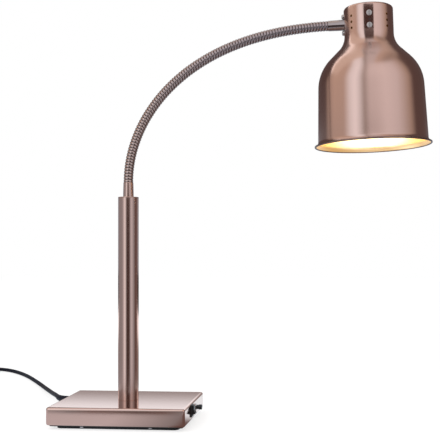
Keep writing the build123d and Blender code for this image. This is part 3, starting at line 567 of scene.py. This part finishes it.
def shade_outline():
    outside = eased(shade_corners, shade_corner_radii, shade_corner_steps)
    outside[-1] = on_lip(lip_start)
    outside = add_rings(outside)
    inside = []
    for index, point in enumerate(outside):
        before, after = outside[max(index - 1, 0)], outside[min(index + 1, len(outside) - 1)]
        along = (after - before).normalized()
        inside.append(point + Vector((along.y, -along.x)) * shade_sheet)
    lip_turn = lip_end - lip_start
    lip = [on_lip(lip_start + lip_turn * step / lip_steps) for step in range(lip_steps + 1)]
    return outside[:-1] + lip + inside[-2::-1]


shade_shell = turned("shade_shell", shade_outline(), shade_segments)
report(shade_shell)

# %% [markdown]
# ## Two more finishes on the one sheet
# The shade is brushed outside and bare and bright inside, and its rolled lip is painted dark as
# painted shade on the bead. The faces of each get a material slot of their own. They are found by
# place and direction: the inner ones look towards the axis, or down from the closed top.

# %% Inside and lip faces
outside_slot, inside_slot, lip_slot = 0, 1, 2
inwards, downwards = -0.05, -0.5
top_inside_level = 150.0
lip_margin = 0.1

for face in shade_shell.data.polygons:
    out = Vector((face.center.x, face.center.y))
    from_lip = (Vector((out.length, face.center.z)) / MM - lip_centre).length
    towards_axis = Vector((face.normal.x, face.normal.y)).dot(out.normalized()) < inwards
    under_top = face.normal.z < downwards and face.center.z / MM > top_inside_level
    if from_lip < lip_radius + lip_margin:
        face.material_index = lip_slot
    elif towards_axis or under_top:
        face.material_index = inside_slot
slots = [face.material_index for face in shade_shell.data.polygons]
print("outside, inside and lip faces", [slots.count(slot) for slot in range(3)])

# %% [markdown]
# ## Drilled holes
# Eight columns of three small holes let the heat out of the shade's neck. The column at the arm
# is left out, and in the one at the front the upper and lower holes carry screws. Real holes are
# drilled, so cylinders stand in for the drill bits: they are joined into one object, and a
# single Boolean modifier cuts them all.

# %% Vents
vent_radius = 2.0
screw_hole_radius = 2.1
vent_columns = 8
vent_row_pitch = 9.15
vent_middle_height = 185.5
arm_side, screw_side = 180.0, 270.0
drill_start, drill_depth = 33.0, 12.0
drill_segments = 24


def drill(angle, row):
    nothing_selected()
    radius = screw_hole_radius if angle == screw_side and row else vent_radius
    height = vent_middle_height + row * vent_row_pitch
    bpy.ops.mesh.primitive_cylinder_add(
        vertices=drill_segments, radius=radius * MM, depth=drill_depth * MM
    )
    around = Matrix.Rotation(radians(angle), 4, "Z")
    outwards = Matrix.Translation(Vector((drill_start + drill_depth / 2, 0, height)) * MM)
    return put(bpy.context.object, around @ outwards @ Matrix.Rotation(pi / 2, 4, "Y"))


vent_angles = [360.0 / vent_columns * column for column in range(vent_columns)]
vent_angles.remove(arm_side)
bits = [drill(angle, row) for angle in vent_angles for row in (-1, 0, 1)]
nothing_selected()
for bit in bits:
    bit.select_set(True)
bpy.context.view_layer.objects.active = bits[0]
bpy.ops.object.join()
drills = bpy.context.object
finish_modifier(shade_shell, "BOOLEAN", operation="DIFFERENCE", object=drills, solver="EXACT")
bpy.data.objects.remove(drills)
put(shade_shell, shade_place)
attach(shade_shell, "head")
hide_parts("shade")
report(shade_shell)

# %% [markdown]
# ## The column, its cap and the ferrule
# The column is a plain tube with a thin cap that shows as one dark line at its top. The neck
# stands on it in a slim tapered ferrule. Small rounded edges catch the light as real ones do.

# %% Column pieces
base_top = 33.0
column_top = 350.5
column_radius, column_bore = 16.0, 14.6
column_segments, ferrule_segments = 128, 96
cap_lip = 1.5
cap_gap = 0.12
cap_inside, cap_hole = 6.0, 5.2
ferrule_gap = 0.02
ferrule_foot, ferrule_foot_height = 8.3, 2.0
ferrule_radius, ferrule_bore, ferrule_mouth = 7.8, 5.0, 6.5
ferrule_rim = 1.4
tube_top = column_top - cap_lip
lid_bottom = tube_top + cap_gap
ferrule_bottom = column_top + ferrule_gap

pipe_corners = (
    (column_bore, base_top),
    (column_radius, base_top),
    (column_radius, tube_top),
    (column_bore, tube_top),
)
lid_corners = (
    (cap_inside, lid_bottom),
    (column_radius, lid_bottom),
    (column_radius, column_top),
    (cap_hole, column_top),
)
ferrule_corners = (
    (ferrule_bore, ferrule_bottom),
    (ferrule_foot, ferrule_bottom),
    (ferrule_foot, column_top + ferrule_foot_height),
    (ferrule_radius, ferrule_top - ferrule_rim),
    (ferrule_radius, ferrule_top),
    (ferrule_mouth, ferrule_top),
)
column_turnings = (
    ("column_pipe", "column_tube", pipe_corners, (0.2, 0.3), column_segments),
    ("column_lid", "column_cap", lid_corners, (0.2, 0.5), column_segments),
    ("ferrule_low", "lower_ferrule", ferrule_corners, (0.3, 1.0, 1.0, 0.5), ferrule_segments),
)
column_pieces = []
for name, node, corners, radii, segments in column_turnings:
    piece = turned(name, supported(eased(corners, radii)), segments)
    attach(piece, "base")
    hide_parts(node)
    column_pieces.append(piece)
    report(piece)

# %% [markdown]
# ## Arithmetic for finishes
# A finish is a small sum of patterns. Written as Python expressions it stays readable: a value
# wraps one socket, and its operators add the Math nodes, also where the number comes first.

# %% Values


class Value:
    """One socket among some nodes, with arithmetic."""

    def __init__(self, nodes, socket):
        self.nodes = nodes
        self.socket = socket

    def math(self, operation, first, second):
        return self.nodes.add("ShaderNodeMath", {"operation": operation}, {0: first, 1: second})

    def __add__(self, other):
        return self.math("ADD", self, other)

    __radd__ = __add__

    def __sub__(self, other):
        return self.math("SUBTRACT", self, other)

    def __rsub__(self, other):
        return self.math("SUBTRACT", other, self)

    def __mul__(self, other):
        return self.math("MULTIPLY", self, other)

    __rmul__ = __mul__

    def __truediv__(self, other):
        return self.math("DIVIDE", self, other)

    def __rtruediv__(self, other):
        return self.math("DIVIDE", other, self)

    def larger(self, other):
        return self.math("MAXIMUM", self, other)

    def power(self, other):
        return self.math("POWER", self, other)


print("operators ready")

# %% [markdown]
# ## One method for every other node
# All nodes but the Math ones come from a single method, which takes the kind of node, its
# settings, and what its sockets get: a number, a colour or another value. Colours are blended
# with Mix nodes, because a Math node would turn them grey.

# %% Nodes


class Nodes:
    """A node tree, and short words for the nodes that the lamp's finishes use."""

    def __init__(self, tree):
        self.tree = tree

    def put(self, target, value):
        if isinstance(value, Value):
            self.tree.links.new(value.socket, target)
        else:
            target.default_value = value

    def add(self, kind, settings=None, values=None, output=0):
        node = self.tree.nodes.new(kind)
        for setting, value in (settings or {}).items():
            if setting == "stops":
                ramp = node.color_ramp
                while len(ramp.elements) < len(value):
                    ramp.elements.new(0.5)
                for element, (place, color) in zip(ramp.elements, value):
                    element.position = place
                    element.color = (*color, 1.0)
            else:
                setattr(node, setting, value)
        for socket, value in (values or {}).items():
            self.put(node.inputs[socket], value)
        return Value(self, node.outputs[output])

    def place(self):
        return self.add("ShaderNodeTexCoord", output="Object")

    def part(self, axis):
        """One coordinate of the place."""
        return self.add("ShaderNodeSeparateXYZ", None, {0: self.place()}, output=axis)

    def stretched(self, scale, turn=(0, 0, 0)):
        values = {"Rotation": turn, "Scale": scale, "Vector": self.place()}
        return self.add("ShaderNodeMapping", {"vector_type": "POINT"}, values)

    def noise(self, vector, detail=2.0, roughness=0.5):
        values = {"Vector": vector, "Scale": 1.0, "Detail": detail, "Roughness": roughness}
        return self.add("ShaderNodeTexNoise", None, values)

    def blend(self, share, first, second):
        values = {0: share, 6: opaque(first), 7: opaque(second)}
        return self.add("ShaderNodeMix", {"data_type": "RGBA"}, values, output=2)

    def ramp(self, share, stops):
        return self.add("ShaderNodeValToRGB", {"stops": stops}, {0: share})

    def mapped(self, value, ends, easing="SMOOTHSTEP"):
        """0 at the first of two ends, 1 at the second, and eased between them."""
        values = {"Value": value, "From Min": ends[0], "From Max": ends[1]}
        return self.add("ShaderNodeMapRange", {"interpolation_type": easing}, values)

    def across(self, axis, ends):
        return self.mapped(self.part(axis), ends)

    def attribute(self, name):
        """A number that is stored on the points of the mesh."""
        return self.add("ShaderNodeAttribute", {"attribute_name": name}, output="Fac")

    def rays(self, kind):
        return self.add("ShaderNodeLightPath", output=kind)


def opaque(color):
    return color if isinstance(color, Value) else (*color, 1.0)


print("nodes ready")

# %% [markdown]
# ## A finish
# A finish is one material. Its plain sockets are set by name, and it is laid on any number of
# pieces, in the slot that the faces ask for.

# %% Finishes


class Finish(Nodes):
    """A material with its colour, gloss and grain."""

    def __init__(self, name, color, roughness, metallic=0.0, **sockets):
        self.material = bpy.data.materials.new(name)
        self.material.use_nodes = True
        super().__init__(self.material.node_tree)
        self.shader = self.tree.nodes["Principled BSDF"]
        self.set("Base Color", opaque(color))
        self.set("Roughness", roughness)
        self.set("Metallic", metallic)
        for socket, value in sockets.items():
            self.set(socket.replace("_", " ").title().replace("Ior", "IOR"), value)

    def set(self, socket, value):
        self.put(self.shader.inputs[socket], value)

    def bump(self, height, strength, distance):
        values = {"Height": height, "Strength": strength, "Distance": distance}
        self.set("Normal", self.add("ShaderNodeBump", None, values))

    def surface(self, shader):
        """Another shader in place of the usual one."""
        self.put(self.tree.nodes["Material Output"].inputs["Surface"], shader)

    def on(self, *pieces, index=0):
        for piece in pieces:
            slots = piece.data.materials
            while len(slots) <= index:
                slots.append(self.material)
            slots[index] = self.material


print("finishes ready")

# %% [markdown]
# ## Brushed copper
# The lamp is copper-plated and then brushed, so the metal has very fine lines across the
# direction in which reflections smear. Noise that is squeezed along one axis gives such lines.
# They move the roughness a little and tilt the surface a very little, and a slow second noise
# makes the colour drift as plating does. Pieces from the lathe also smear their highlights along
# the axis, which is what the anisotropic setting does.

# %% Brushed metal
copper_color = (0.62, 0.41, 0.34)
copper_warm = (0.58, 0.38, 0.305)
drift_scale = (9, 9, 9)
drift_share, line_share = 0.6, 0.4
line_detail, line_roughness = 3.0, 0.65
line_strength = 0.25
line_gloss = 0.06
line_depth = 0.000006


def brushed(
    name,
    squeeze,
    roughness,
    color=copper_color,
    warm=copper_warm,
    turn=(0, 0, 0),
    depth=line_depth,
    **sockets,
):
    finish = Finish(name, color, roughness, metallic=1.0, **sockets)
    lines = finish.noise(finish.stretched(squeeze, turn), line_detail, line_roughness)
    drift = finish.noise(finish.stretched(drift_scale))
    warmth = drift * drift_share + lines * line_share
    finish.set("Base Color", finish.blend(warmth, color, warm))
    finish.set("Roughness", roughness - line_gloss / 2 + lines * line_gloss)
    finish.bump(lines, line_strength, depth)
    return finish


print("brushed metal ready")

# %% [markdown]
# ## Which way each piece is brushed
# The shade and the column turned under the brush, so their lines run round them, and the
# shade's pattern is tilted as its axis is. The base was brushed along its length. Its flat faces
# show every tilt, so its lines are the shallowest. The sleeve is darker metal, and the rolled lip
# is painted dark as painted shade on the bead. One finish with a mask for each piece could do all
# this, but with a finish of its own, each piece's direction and gloss can be changed alone.

# %% Copper on the lamp
shade_tilt = (0, head_heading, 0)
turned_depth, flat_depth = 0.000003, 0.000002
lathe = {"depth": turned_depth, "anisotropic": 0.70, "anisotropic_rotation": 0.25}
shade_copper = brushed("shade_copper", (14, 14, 2600), 0.21, turn=shade_tilt, **lathe)
column_copper = brushed("column_copper", (10, 10, 2600), 0.15, **lathe)
base_copper = brushed("base_copper", (12, 2400, 2400), 0.10, depth=flat_depth)
sleeve_steel = brushed("sleeve_steel", (2600, 14, 14), 0.13, (0.42, 0.36, 0.34), (0.38, 0.32, 0.30))
# The lip's dark colour is painted shade on the rolled bead.
lip_painted_shade_copper = brushed("lip_painted_shade_copper", (300, 300, 300), 0.28, (0.30, 0.20, 0.17), (0.24, 0.16, 0.14))

shade_copper.on(shade_shell, index=outside_slot)
lip_painted_shade_copper.on(shade_shell, index=lip_slot)
column_copper.on(*column_pieces, nodes["column_base_plug"])
sleeve_steel.on(nodes["head_sleeve"])
base_copper.on(nodes["base_housing"])
print("brushed", shade_copper.material.name, column_copper.material.name, base_copper.material.name)

# %% [markdown]
# ## The neck's ribs
# The wire is plated before it is wound. The crests show the plated metal with a painted reflection,
# browner low down and greyer where the neck leans over, and the grooves get painted shade. The
# number that every point noted on the straight rib says how deep it lies, and a fine noise makes
# the painted shade uneven.

# %% Neck finish
neck_roughness, groove_roughness = 0.14, 0.45
reflection_brown_to_grey = (0.46, 0.60)
crest_brown_reflection, crest_grey_reflection = (0.50, 0.37, 0.32), (0.38, 0.305, 0.295)
groove_shade_color = (0.035, 0.026, 0.026)
groove_shade_scale = (300, 300, 300)
groove_shade_least, groove_shade_more = 0.8, 0.4
groove_shade_edge = 1.4

neck_copper = Finish("neck_copper", crest_brown_reflection, neck_roughness, metallic=1.0)
# Painted reflection: the crests' colour turns from brown low down to grey higher up.
painted_reflection_share = neck_copper.mapped(neck_copper.part("Z"), reflection_brown_to_grey, easing="LINEAR")
crest_painted_reflection = neck_copper.blend(painted_reflection_share, crest_brown_reflection, crest_grey_reflection)
# Painted shade: the deeper a point lies between the ribs, the darker its colour, made uneven by
# noise.
groove_shade_noise = neck_copper.noise(neck_copper.stretched(groove_shade_scale))
painted_groove_shade = neck_copper.attribute("groove") * (groove_shade_noise * groove_shade_more + groove_shade_least)
neck_tone = neck_copper.blend(painted_groove_shade.power(groove_shade_edge), crest_painted_reflection, groove_shade_color)
neck_copper.set("Base Color", neck_tone)
neck_copper.set("Roughness", painted_groove_shade * groove_roughness + neck_roughness)
neck_copper.on(*neck_runs)
print("ribs finished on", len(neck_runs), "runs")

# %% [markdown]
# ## The inside of the shade and the lit bulb
# The bulb is lit. Its face is a frosted lens that glows, and the bright inner metal reflects that
# light, nearly white where it faces the lens. An amber glow near the rim is painted light on the
# inner wall, for the light that it throws out again. Both glows change with the height above the
# rim, along the tilted axis of the shade.

# %% Inside and bulb
shade_axis_up = shade_place.to_3x3() @ Vector((0, 0, 1))
shade_rim_centre = shade_place.translation
inside_color, inside_roughness, inside_painted_light = (0.88, 0.74, 0.50), 0.34, 0.55
inside_reach = 60.0
inside_painted_light_stops = [(0.0, (0.95, 0.50, 0.12)), (0.3, (0.85, 0.42, 0.09)), (1.0, (0.02, 0.01, 0.0))]
glass_color, glass_roughness, glass_glow = (0.82, 0.80, 0.76), 0.28, 6.0
lens_reach = 54.0
lens_stops = [(0.0, (1.0, 0.95, 0.80)), (0.45, (1.0, 0.92, 0.70)), (0.55, (0.0, 0.0, 0.0))]


def height_in_shade(finish):
    """Height above the rim along the shade's axis, in millimetres."""
    place_and_rim = {0: finish.place(), 1: shade_rim_centre}
    from_rim = finish.add("ShaderNodeVectorMath", {"operation": "SUBTRACT"}, place_and_rim)
    both = {0: from_rim, 1: shade_axis_up}
    along = finish.add("ShaderNodeVectorMath", {"operation": "DOT_PRODUCT"}, both, output="Value")
    return along / MM


def glow_by_height(finish, strength, reach, stops):
    finish.set("Emission Strength", strength)
    finish.set("Emission Color", finish.ramp(height_in_shade(finish) / reach, stops))


inside_metal = Finish("shade_inside", inside_color, inside_roughness, metallic=1.0)
# The inner wall's glow is painted light: amber near the rim, fading out higher up.
glow_by_height(inside_metal, inside_painted_light, inside_reach, inside_painted_light_stops)
inside_metal.on(shade_shell, index=inside_slot)

bulb_glass = Finish("bulb_glass", glass_color, glass_roughness)
glow_by_height(bulb_glass, glass_glow, lens_reach, lens_stops)
bulb_glass.on(nodes["bulb_envelope"])
print("rim centre", [round(value, 4) for value in shade_rim_centre])

# %% [markdown]
# ## Rubber, plastic and ceramic
# The cord, pad, switch and knob are black, but each has its own skin: the cord's sheath is dull
# with a fine grain, the pad is coarser, and the mouldings have the finest grain and some gloss.
# Photographs of such skins could be laid on, but they would show their seams. A noise has none,
# and it moves roughness, colour and surface together. The bottom plate, two screws, the wires
# and the lampholder get their finish the same way.

# %% Grained finishes
grain_gloss = 0.12
grain_light = 1.35
grain_depth = 0.00003


def grained(name, color, roughness, grain=900.0, strength=0.2, **sockets):
    finish = Finish(name, color, roughness, **sockets)
    speck = finish.noise(finish.stretched((grain, grain, grain)))
    finish.set("Roughness", roughness - grain_gloss / 2 + speck * grain_gloss)
    finish.set("Base Color", finish.blend(speck, color, [part * grain_light for part in color]))
    finish.bump(speck, strength, grain_depth)
    return finish


cord_sheath = grained("cord_sheath", (0.010, 0.010, 0.017), 0.55, 500.0, specular_ior_level=0.15)
pad_rubber = grained("pad_rubber", (0.018, 0.018, 0.019), 0.75, grain=350.0, strength=0.4)
black_moulding = grained("black_moulding", (0.014, 0.014, 0.015), 0.36, grain=1500.0)
black_paint = grained("black_paint", (0.020, 0.019, 0.019), 0.55, specular_ior_level=0.25)
zinc_plate = grained("zinc_plate", (0.34, 0.32, 0.32), 0.32, specular_ior_level=0.9)
white_wire = grained("white_wire", (0.70, 0.69, 0.66), 0.45)
ceramic = grained("ceramic", (0.83, 0.81, 0.77), 0.22, grain=250.0, strength=0.05)
print("grained finishes ready")

# %% [markdown]
# ## The pieces that are hardly seen
# Inside are steel plates, nuts and screws, and brass where the current goes. One grey for all
# would do in this picture, but in another scene someone may look into the shade or under the
# base. A table groups the pieces' names under their finish, and one loop lays it on them.

# %% Every other piece
fine_grain = (300, 300, 300)
long_grain = (500, 500, 60)
plain_steel = brushed("plain_steel", long_grain, 0.34, (0.56, 0.55, 0.54), (0.48, 0.48, 0.48))
bright_steel = brushed("bright_steel", fine_grain, 0.24, (0.56, 0.50, 0.47), (0.48, 0.43, 0.40))
brass = brushed("brass", fine_grain, 0.26, (0.80, 0.60, 0.28), (0.70, 0.50, 0.22))
neck_leads = [f"neck_lead_{link:02d}" for link in range(1, neck_links + 1)]
black_inside = ["gland_nut", "terminal_block"]
screws_and_nuts = ["arm_screws", "plate_screws", "terminal_screws"]
screws_and_nuts += ["holder_nut", "dimmer_nut", "ballast_nuts"]

finishes = {
    cord_sheath: ["cord_strain_relief", "mains_lead", "plug_body"],
    pad_rubber: ["base_pad"],
    black_moulding: ["switch_body", "rocker", "dimmer_body", "dimmer_knob", *black_inside],
    white_wire: ["column_lead", "head_lead", "base_wires", *neck_leads],
    ceramic: ["lampholder_body"],
    black_paint: ["bottom_plate"],
    zinc_plate: ["bracket_screws"],
    plain_steel: ["ballast_plate", "column_washer", "column_lock_nut", "arm_bracket"],
    bright_steel: ["holder_bracket", "dimmer_shaft", *screws_and_nuts],
    brass: ["lampholder_shell", "lampholder_contact", "bulb_cap", "plug_pins", "switch_terminals"],
}
for finish, names in finishes.items():
    finish.on(*[nodes[name] for name in names])
cord_sheath.on(cord_run)
print("finishes on", sum(len(names) for names in finishes.values()), "construction nodes")

# %% [markdown]
# ## The studio
# The floor and background are white. What gives polished metal its shape is what stands round
# it: a cool soft box on the left of the camera, a white card on its right with a narrow gap
# between them, tan screens further round and black flags behind. They are painted as panels on
# a round wall, each with a direction in degrees, where 0 points straight to the front and 90 to
# the right, a tone, and how bright it is there. Between panels the tones run into each other, as
# the edges of real soft boxes do. Low down stand other panels, which the column and the base
# see. Overhead and close to the base on the floor, the tones change from left to right, and
# there the panels give their places as shares of that way.

# %% Panels round the lamp
wall_centre = (0.19, 0.0)
wall_radius = 1.5
wall_height = 3.0

black_flag = (0.12, 0.09, 0.09)
tan_screen = (0.74, 0.64, 0.58)
grey_screen = (0.42, 0.46, 0.53)
gap = (0.60, 0.59, 0.61)
white_card = (1.02, 1.05, 1.15)
soft_box = (1.25, 1.40, 1.58)

upper_panels = (
    (-180, black_flag, 1.0),
    (-119, black_flag, 1.0),
    (-107, tan_screen, 0.68),
    (-88, tan_screen, 1.02),
    (-58, tan_screen, 0.96),
    (-43, soft_box, 0.88),
    (-30, soft_box, 1.04),
    (-20, soft_box, 0.84),
    (-10, gap, 0.92),
    (1, white_card, 0.95),
    (32, white_card, 1.02),
    (58, white_card, 0.90),
    (84, tan_screen, 0.78),
    (97, black_flag, 1.2),
    (180, black_flag, 1.0),
)
lower_panels = (
    (-180, grey_screen, 1.0),
    (-100, grey_screen, 0.90),
    (-58, grey_screen, 1.0),
    (-47, grey_screen, 1.45),
    (-36, soft_box, 0.74),
    (-24, soft_box, 1.0),
    (-12, soft_box, 0.40),
    (-3, black_flag, 0.8),
    (22, black_flag, 0.8),
    (32, grey_screen, 0.90),
    (43, grey_screen, 1.85),
    (55, grey_screen, 1.70),
    (80, grey_screen, 0.80),
    (94, black_flag, 1.6),
    (116, black_flag, 1.6),
    (140, grey_screen, 1.0),
    (180, grey_screen, 1.0),
)
ceiling_panels = (
    (0.0, tan_screen, 0.95),
    (0.12, tan_screen, 1.0),
    (0.22, soft_box, 0.95),
    (0.36, soft_box, 0.97),
    (0.43, soft_box, 0.72),
    (0.482, gap, 0.82),
    (0.51, gap, 0.82),
    (0.57, white_card, 0.76),
    (0.72, white_card, 0.78),
    (0.80, tan_screen, 1.0),
    (0.88, tan_screen, 0.88),
    (0.97, tan_screen, 0.66),
    (1.0, tan_screen, 0.60),
)
near_floor_panels = (
    (0.0, grey_screen, 1.85),
    (0.50, grey_screen, 1.90),
    (0.75, grey_screen, 1.30),
    (0.90, grey_screen, 0.88),
    (0.97, black_flag, 1.7),
    (1.0, black_flag, 1.7),
)
floor_strip_panels = (
    (0.0, grey_screen, 1.0),
    (0.14, grey_screen, 0.55),
    (0.28, black_flag, 1.8),
    (0.60, black_flag, 1.1),
    (0.76, black_flag, 1.8),
    (0.88, grey_screen, 0.8),
    (1.0, grey_screen, 1.2),
)

print("panels", len(upper_panels), len(lower_panels), len(ceiling_panels))

# %% [markdown]
# ## From panels to a ramp
# A Color Ramp takes its stops from 0 to 1, so each direction becomes a share of the full turn.
# The direction of a point on the wall or the floor is the arc tangent of its place.

# %% Ramps of panels


def ramp_stops(panels):
    return [(place, [part * bright for part in tone]) for place, tone, bright in panels]


def round_tones(finish, panels, centre=(0.0, 0.0)):
    """The tone of the panel that lies in each direction from a centre."""
    across = finish.part("X") - centre[0]
    near = centre[1] - finish.part("Y")
    turn = finish.add("ShaderNodeMath", {"operation": "ARCTAN2"}, {0: across, 1: near})
    shares = [((azimuth + 180.0) / 360.0, tone, bright) for azimuth, tone, bright in panels]
    return finish.ramp(turn / (2 * pi) + 0.5, ramp_stops(shares))


print("a full turn of panels has", len(ramp_stops(lower_panels)), "stops")

# %% [markdown]
# ## The floor
# To the camera the floor is plain white paper that glows a little, so that it fades into the
# background and still keeps the lamp's soft shadow. In the metal it shows as what stands on it:
# the lower panels farther out, a bright sheet behind the column, and in front of the base a
# dark strip that draws the thin line along its upper edge.

# %% Floor
floor_size = 12.0
floor_centre = (0.2, 0.6, 0.0)
floor_white = (1.25, 1.25, 1.25)
floor_glow = 0.58
sheet_behind = (1.05, 1.20, 1.30)
floor_left, floor_span = 0.15, 0.25
behind_column = (-0.02, 0.06)
before_base = (-0.203, -0.215)
far_floor = (0.27, 0.36)

nothing_selected()
bpy.ops.mesh.primitive_plane_add(size=floor_size, location=floor_centre)
floor = bpy.context.object
floor.name = "floor"
bpy.ops.object.transform_apply()

paper = Finish("paper", (0.90, 0.90, 0.90), 0.9)
right_share = (paper.part("X") + floor_left) / floor_span
near_tone = paper.ramp(right_share, ramp_stops(near_floor_panels))
on_sheet = paper.across("Y", behind_column)
near_tone = paper.blend(on_sheet, near_tone, sheet_behind)
strip_tone = paper.ramp(right_share, ramp_stops(floor_strip_panels))
on_strip = paper.across("Y", before_base)
near_tone = paper.blend(on_strip, near_tone, strip_tone)
distance = paper.add("ShaderNodeVectorMath", {"operation": "LENGTH"}, {0: paper.place()}, "Value")
far_out = paper.mapped(distance, far_floor)
floor_tone = paper.blend(far_out, near_tone, round_tones(paper, lower_panels))

seen, mirrored = paper.rays("Is Camera Ray"), paper.rays("Is Glossy Ray")
floor_light = paper.blend(mirrored, floor_white, floor_tone)
glow = paper.add("ShaderNodeEmission", None, {"Color": floor_light, "Strength": 1.0})
lit = Value(paper, paper.shader.outputs[0])
glow_share = seen * floor_glow + mirrored
paper.surface(paper.add("ShaderNodeMixShader", None, {0: glow_share, 1: lit, 2: glow}))
paper.on(floor)
print("floor", floor_size, "m wide")

# %% [markdown]
# ## Screens that only reflections see
# The wall, the ceiling and three small screens shine, but the camera doesn't see them and they
# throw neither light nor shadow on the scene. The back card lightens the base's top towards the
# front, the strip over the neck lights its upper edge, and the small flag in front of the
# shade's neck makes the dark stripe behind the two screws.

# %% Wall, ceiling and screens
wall_sink = 0.01
wall_segments = 96
upright, face_down = (radians(90), 0, 0), (pi, 0, 0)
card_centre, card_size = (-0.1, 0.30, 0.11), (1.1, 1.0, 0.22)
flag_centre, flag_size = (0.3735, -0.062, 0.6235), (0.036, 1.0, 0.043)
strip_centre, strip_size = (0.05, 0.0, 0.80), (0.54, 0.24, 1.0)


def for_reflections(name):
    """The object that was just added, as a screen in the studio."""
    screen = bpy.context.object
    screen.name = name
    bpy.ops.object.transform_apply()
    for ray in ("camera", "diffuse", "transmission", "shadow", "volume_scatter"):
        setattr(screen, f"visible_{ray}", False)
    return screen


def flat_screen(name, centre, turn, size):
    bpy.ops.mesh.primitive_plane_add(size=1.0, location=centre, rotation=turn)
    bpy.ops.transform.resize(value=size)
    return for_reflections(name)


nothing_selected()
bpy.ops.mesh.primitive_cylinder_add(
    vertices=wall_segments,
    radius=wall_radius,
    depth=wall_height,
    end_fill_type="NOTHING",
    location=(*wall_centre, wall_height / 2 - wall_sink),
)
round_wall = for_reflections("round_wall")
bpy.ops.mesh.primitive_circle_add(
    vertices=wall_segments,
    radius=wall_radius,
    fill_type="NGON",
    location=(*wall_centre, wall_height - wall_sink),
)
ceiling = for_reflections("ceiling")
back_card = flat_screen("back_card", card_centre, upright, card_size)
neck_flag = flat_screen("neck_flag", flag_centre, upright, flag_size)
neck_strip = flat_screen("neck_strip", strip_centre, face_down, strip_size)
print("screens", round_wall.name, ceiling.name, back_card.name, neck_flag.name, neck_strip.name)

# %% [markdown]
# ## What the screens show
# Each screen is painted with light alone. The wall changes from the lower panels to the upper
# ones at the height of the shade's top, and high up to the tones of the ceiling. The pairs of
# numbers are the places in metres between which one tone runs into the next.

# %% Paint for the screens
overhead_slant = 0.12
upper_wall, top_of_wall = (0.58, 0.68), (2.1, 2.8)
strip_right, strip_back = (-0.22, -0.02), (0.06, 0.10)
card_middle, card_edge = (0.066, 0.115), (0.135, 0.150)
strip_near_tone = (0.90, 0.83, 0.78)
strip_left_tone, strip_right_tone = (0.9, 0.9, 0.95), (1.9, 1.9, 1.95)
card_low_tone, card_high_tone = (0.36, 0.32, 0.32), (1.30, 1.38, 1.48)
card_top_tone = (0.12, 0.10, 0.10)
flag_tone, flag_warm_tone = (0.07, 0.045, 0.04), (0.09, 0.06, 0.06)


def glowing_paint(name):
    return Finish(name, (0, 0, 0), 1.0)


def shine(finish, tone, screen):
    finish.surface(finish.add("ShaderNodeEmission", None, {"Color": tone}))
    finish.on(screen)


def overhead_tone(finish):
    slanted = finish.part("X") - finish.part("Y") * overhead_slant
    return finish.ramp(slanted / (2 * wall_radius) + 0.5, ramp_stops(ceiling_panels))


wall_paint = glowing_paint("wall_paint")
low_tone = round_tones(wall_paint, lower_panels)
upper_tone = round_tones(wall_paint, upper_panels, wall_centre)
wall_tone = wall_paint.blend(wall_paint.across("Z", upper_wall), low_tone, upper_tone)
high_up = wall_paint.across("Z", top_of_wall)
shine(wall_paint, wall_paint.blend(high_up, wall_tone, overhead_tone(wall_paint)), round_wall)

ceiling_paint = glowing_paint("ceiling_paint")
shine(ceiling_paint, overhead_tone(ceiling_paint), ceiling)

strip_paint = glowing_paint("strip_paint")
to_the_right = strip_paint.across("X", strip_right)
far_tone = strip_paint.blend(to_the_right, strip_left_tone, strip_right_tone)
to_the_back = strip_paint.across("Y", strip_back)
shine(strip_paint, strip_paint.blend(to_the_back, strip_near_tone, far_tone), neck_strip)

card_paint = glowing_paint("card_paint")
card_up = card_paint.across("Z", card_middle)
card_tone = card_paint.blend(card_up, card_low_tone, card_high_tone)
card_top = card_paint.across("Z", card_edge)
shine(card_paint, card_paint.blend(card_top, card_tone, card_top_tone), back_card)

flag_paint = glowing_paint("flag_paint")
flag_warmth = flag_paint.noise(flag_paint.place())
shine(flag_paint, flag_paint.blend(flag_warmth, flag_tone, flag_warm_tone), neck_flag)
print("screens painted")

# %% [markdown]
# ## The background and the key light
# The camera, the metal and the glass see a white surround. As a light on the scene it is dimmer,
# so that the soft key light from the left front still makes a shadow. The key light itself isn't
# seen in the metal, which has its panels for that.

# %% Surround and key light
surround_fill = 0.72
key_size = 0.9
key_energy = 9.0
key_place, key_aim = (-0.7, -0.9, 1.6), (0.1, 0.1, 0.0)

world = bpy.data.worlds.new("world")
bpy.context.scene.world = world
world.use_nodes = True
surround = Nodes(world.node_tree)
background = world.node_tree.nodes["Background"]
surround.put(background.inputs["Color"], (1, 1, 1, 1))
camera_or_metal = surround.rays("Is Camera Ray").larger(surround.rays("Is Glossy Ray"))
in_full = camera_or_metal.larger(surround.rays("Is Transmission Ray"))
surround.put(background.inputs["Strength"], in_full * (1 - surround_fill) + surround_fill)

key_data = bpy.data.lights.new("key_light", "AREA")
key_data.shape = "RECTANGLE"
key_data.size = key_data.size_y = key_size
key_data.energy = key_energy
key = bpy.data.objects.new("key_light", key_data)
key.location = key_place
key.rotation_euler = (Vector(key_aim) - key.location).to_track_quat("-Z", "Y").to_euler()
key.visible_camera = False
key.visible_glossy = False
bpy.context.scene.collection.objects.link(key)
bpy.context.scene.view_settings.view_transform = "Standard"
print("studio ready")
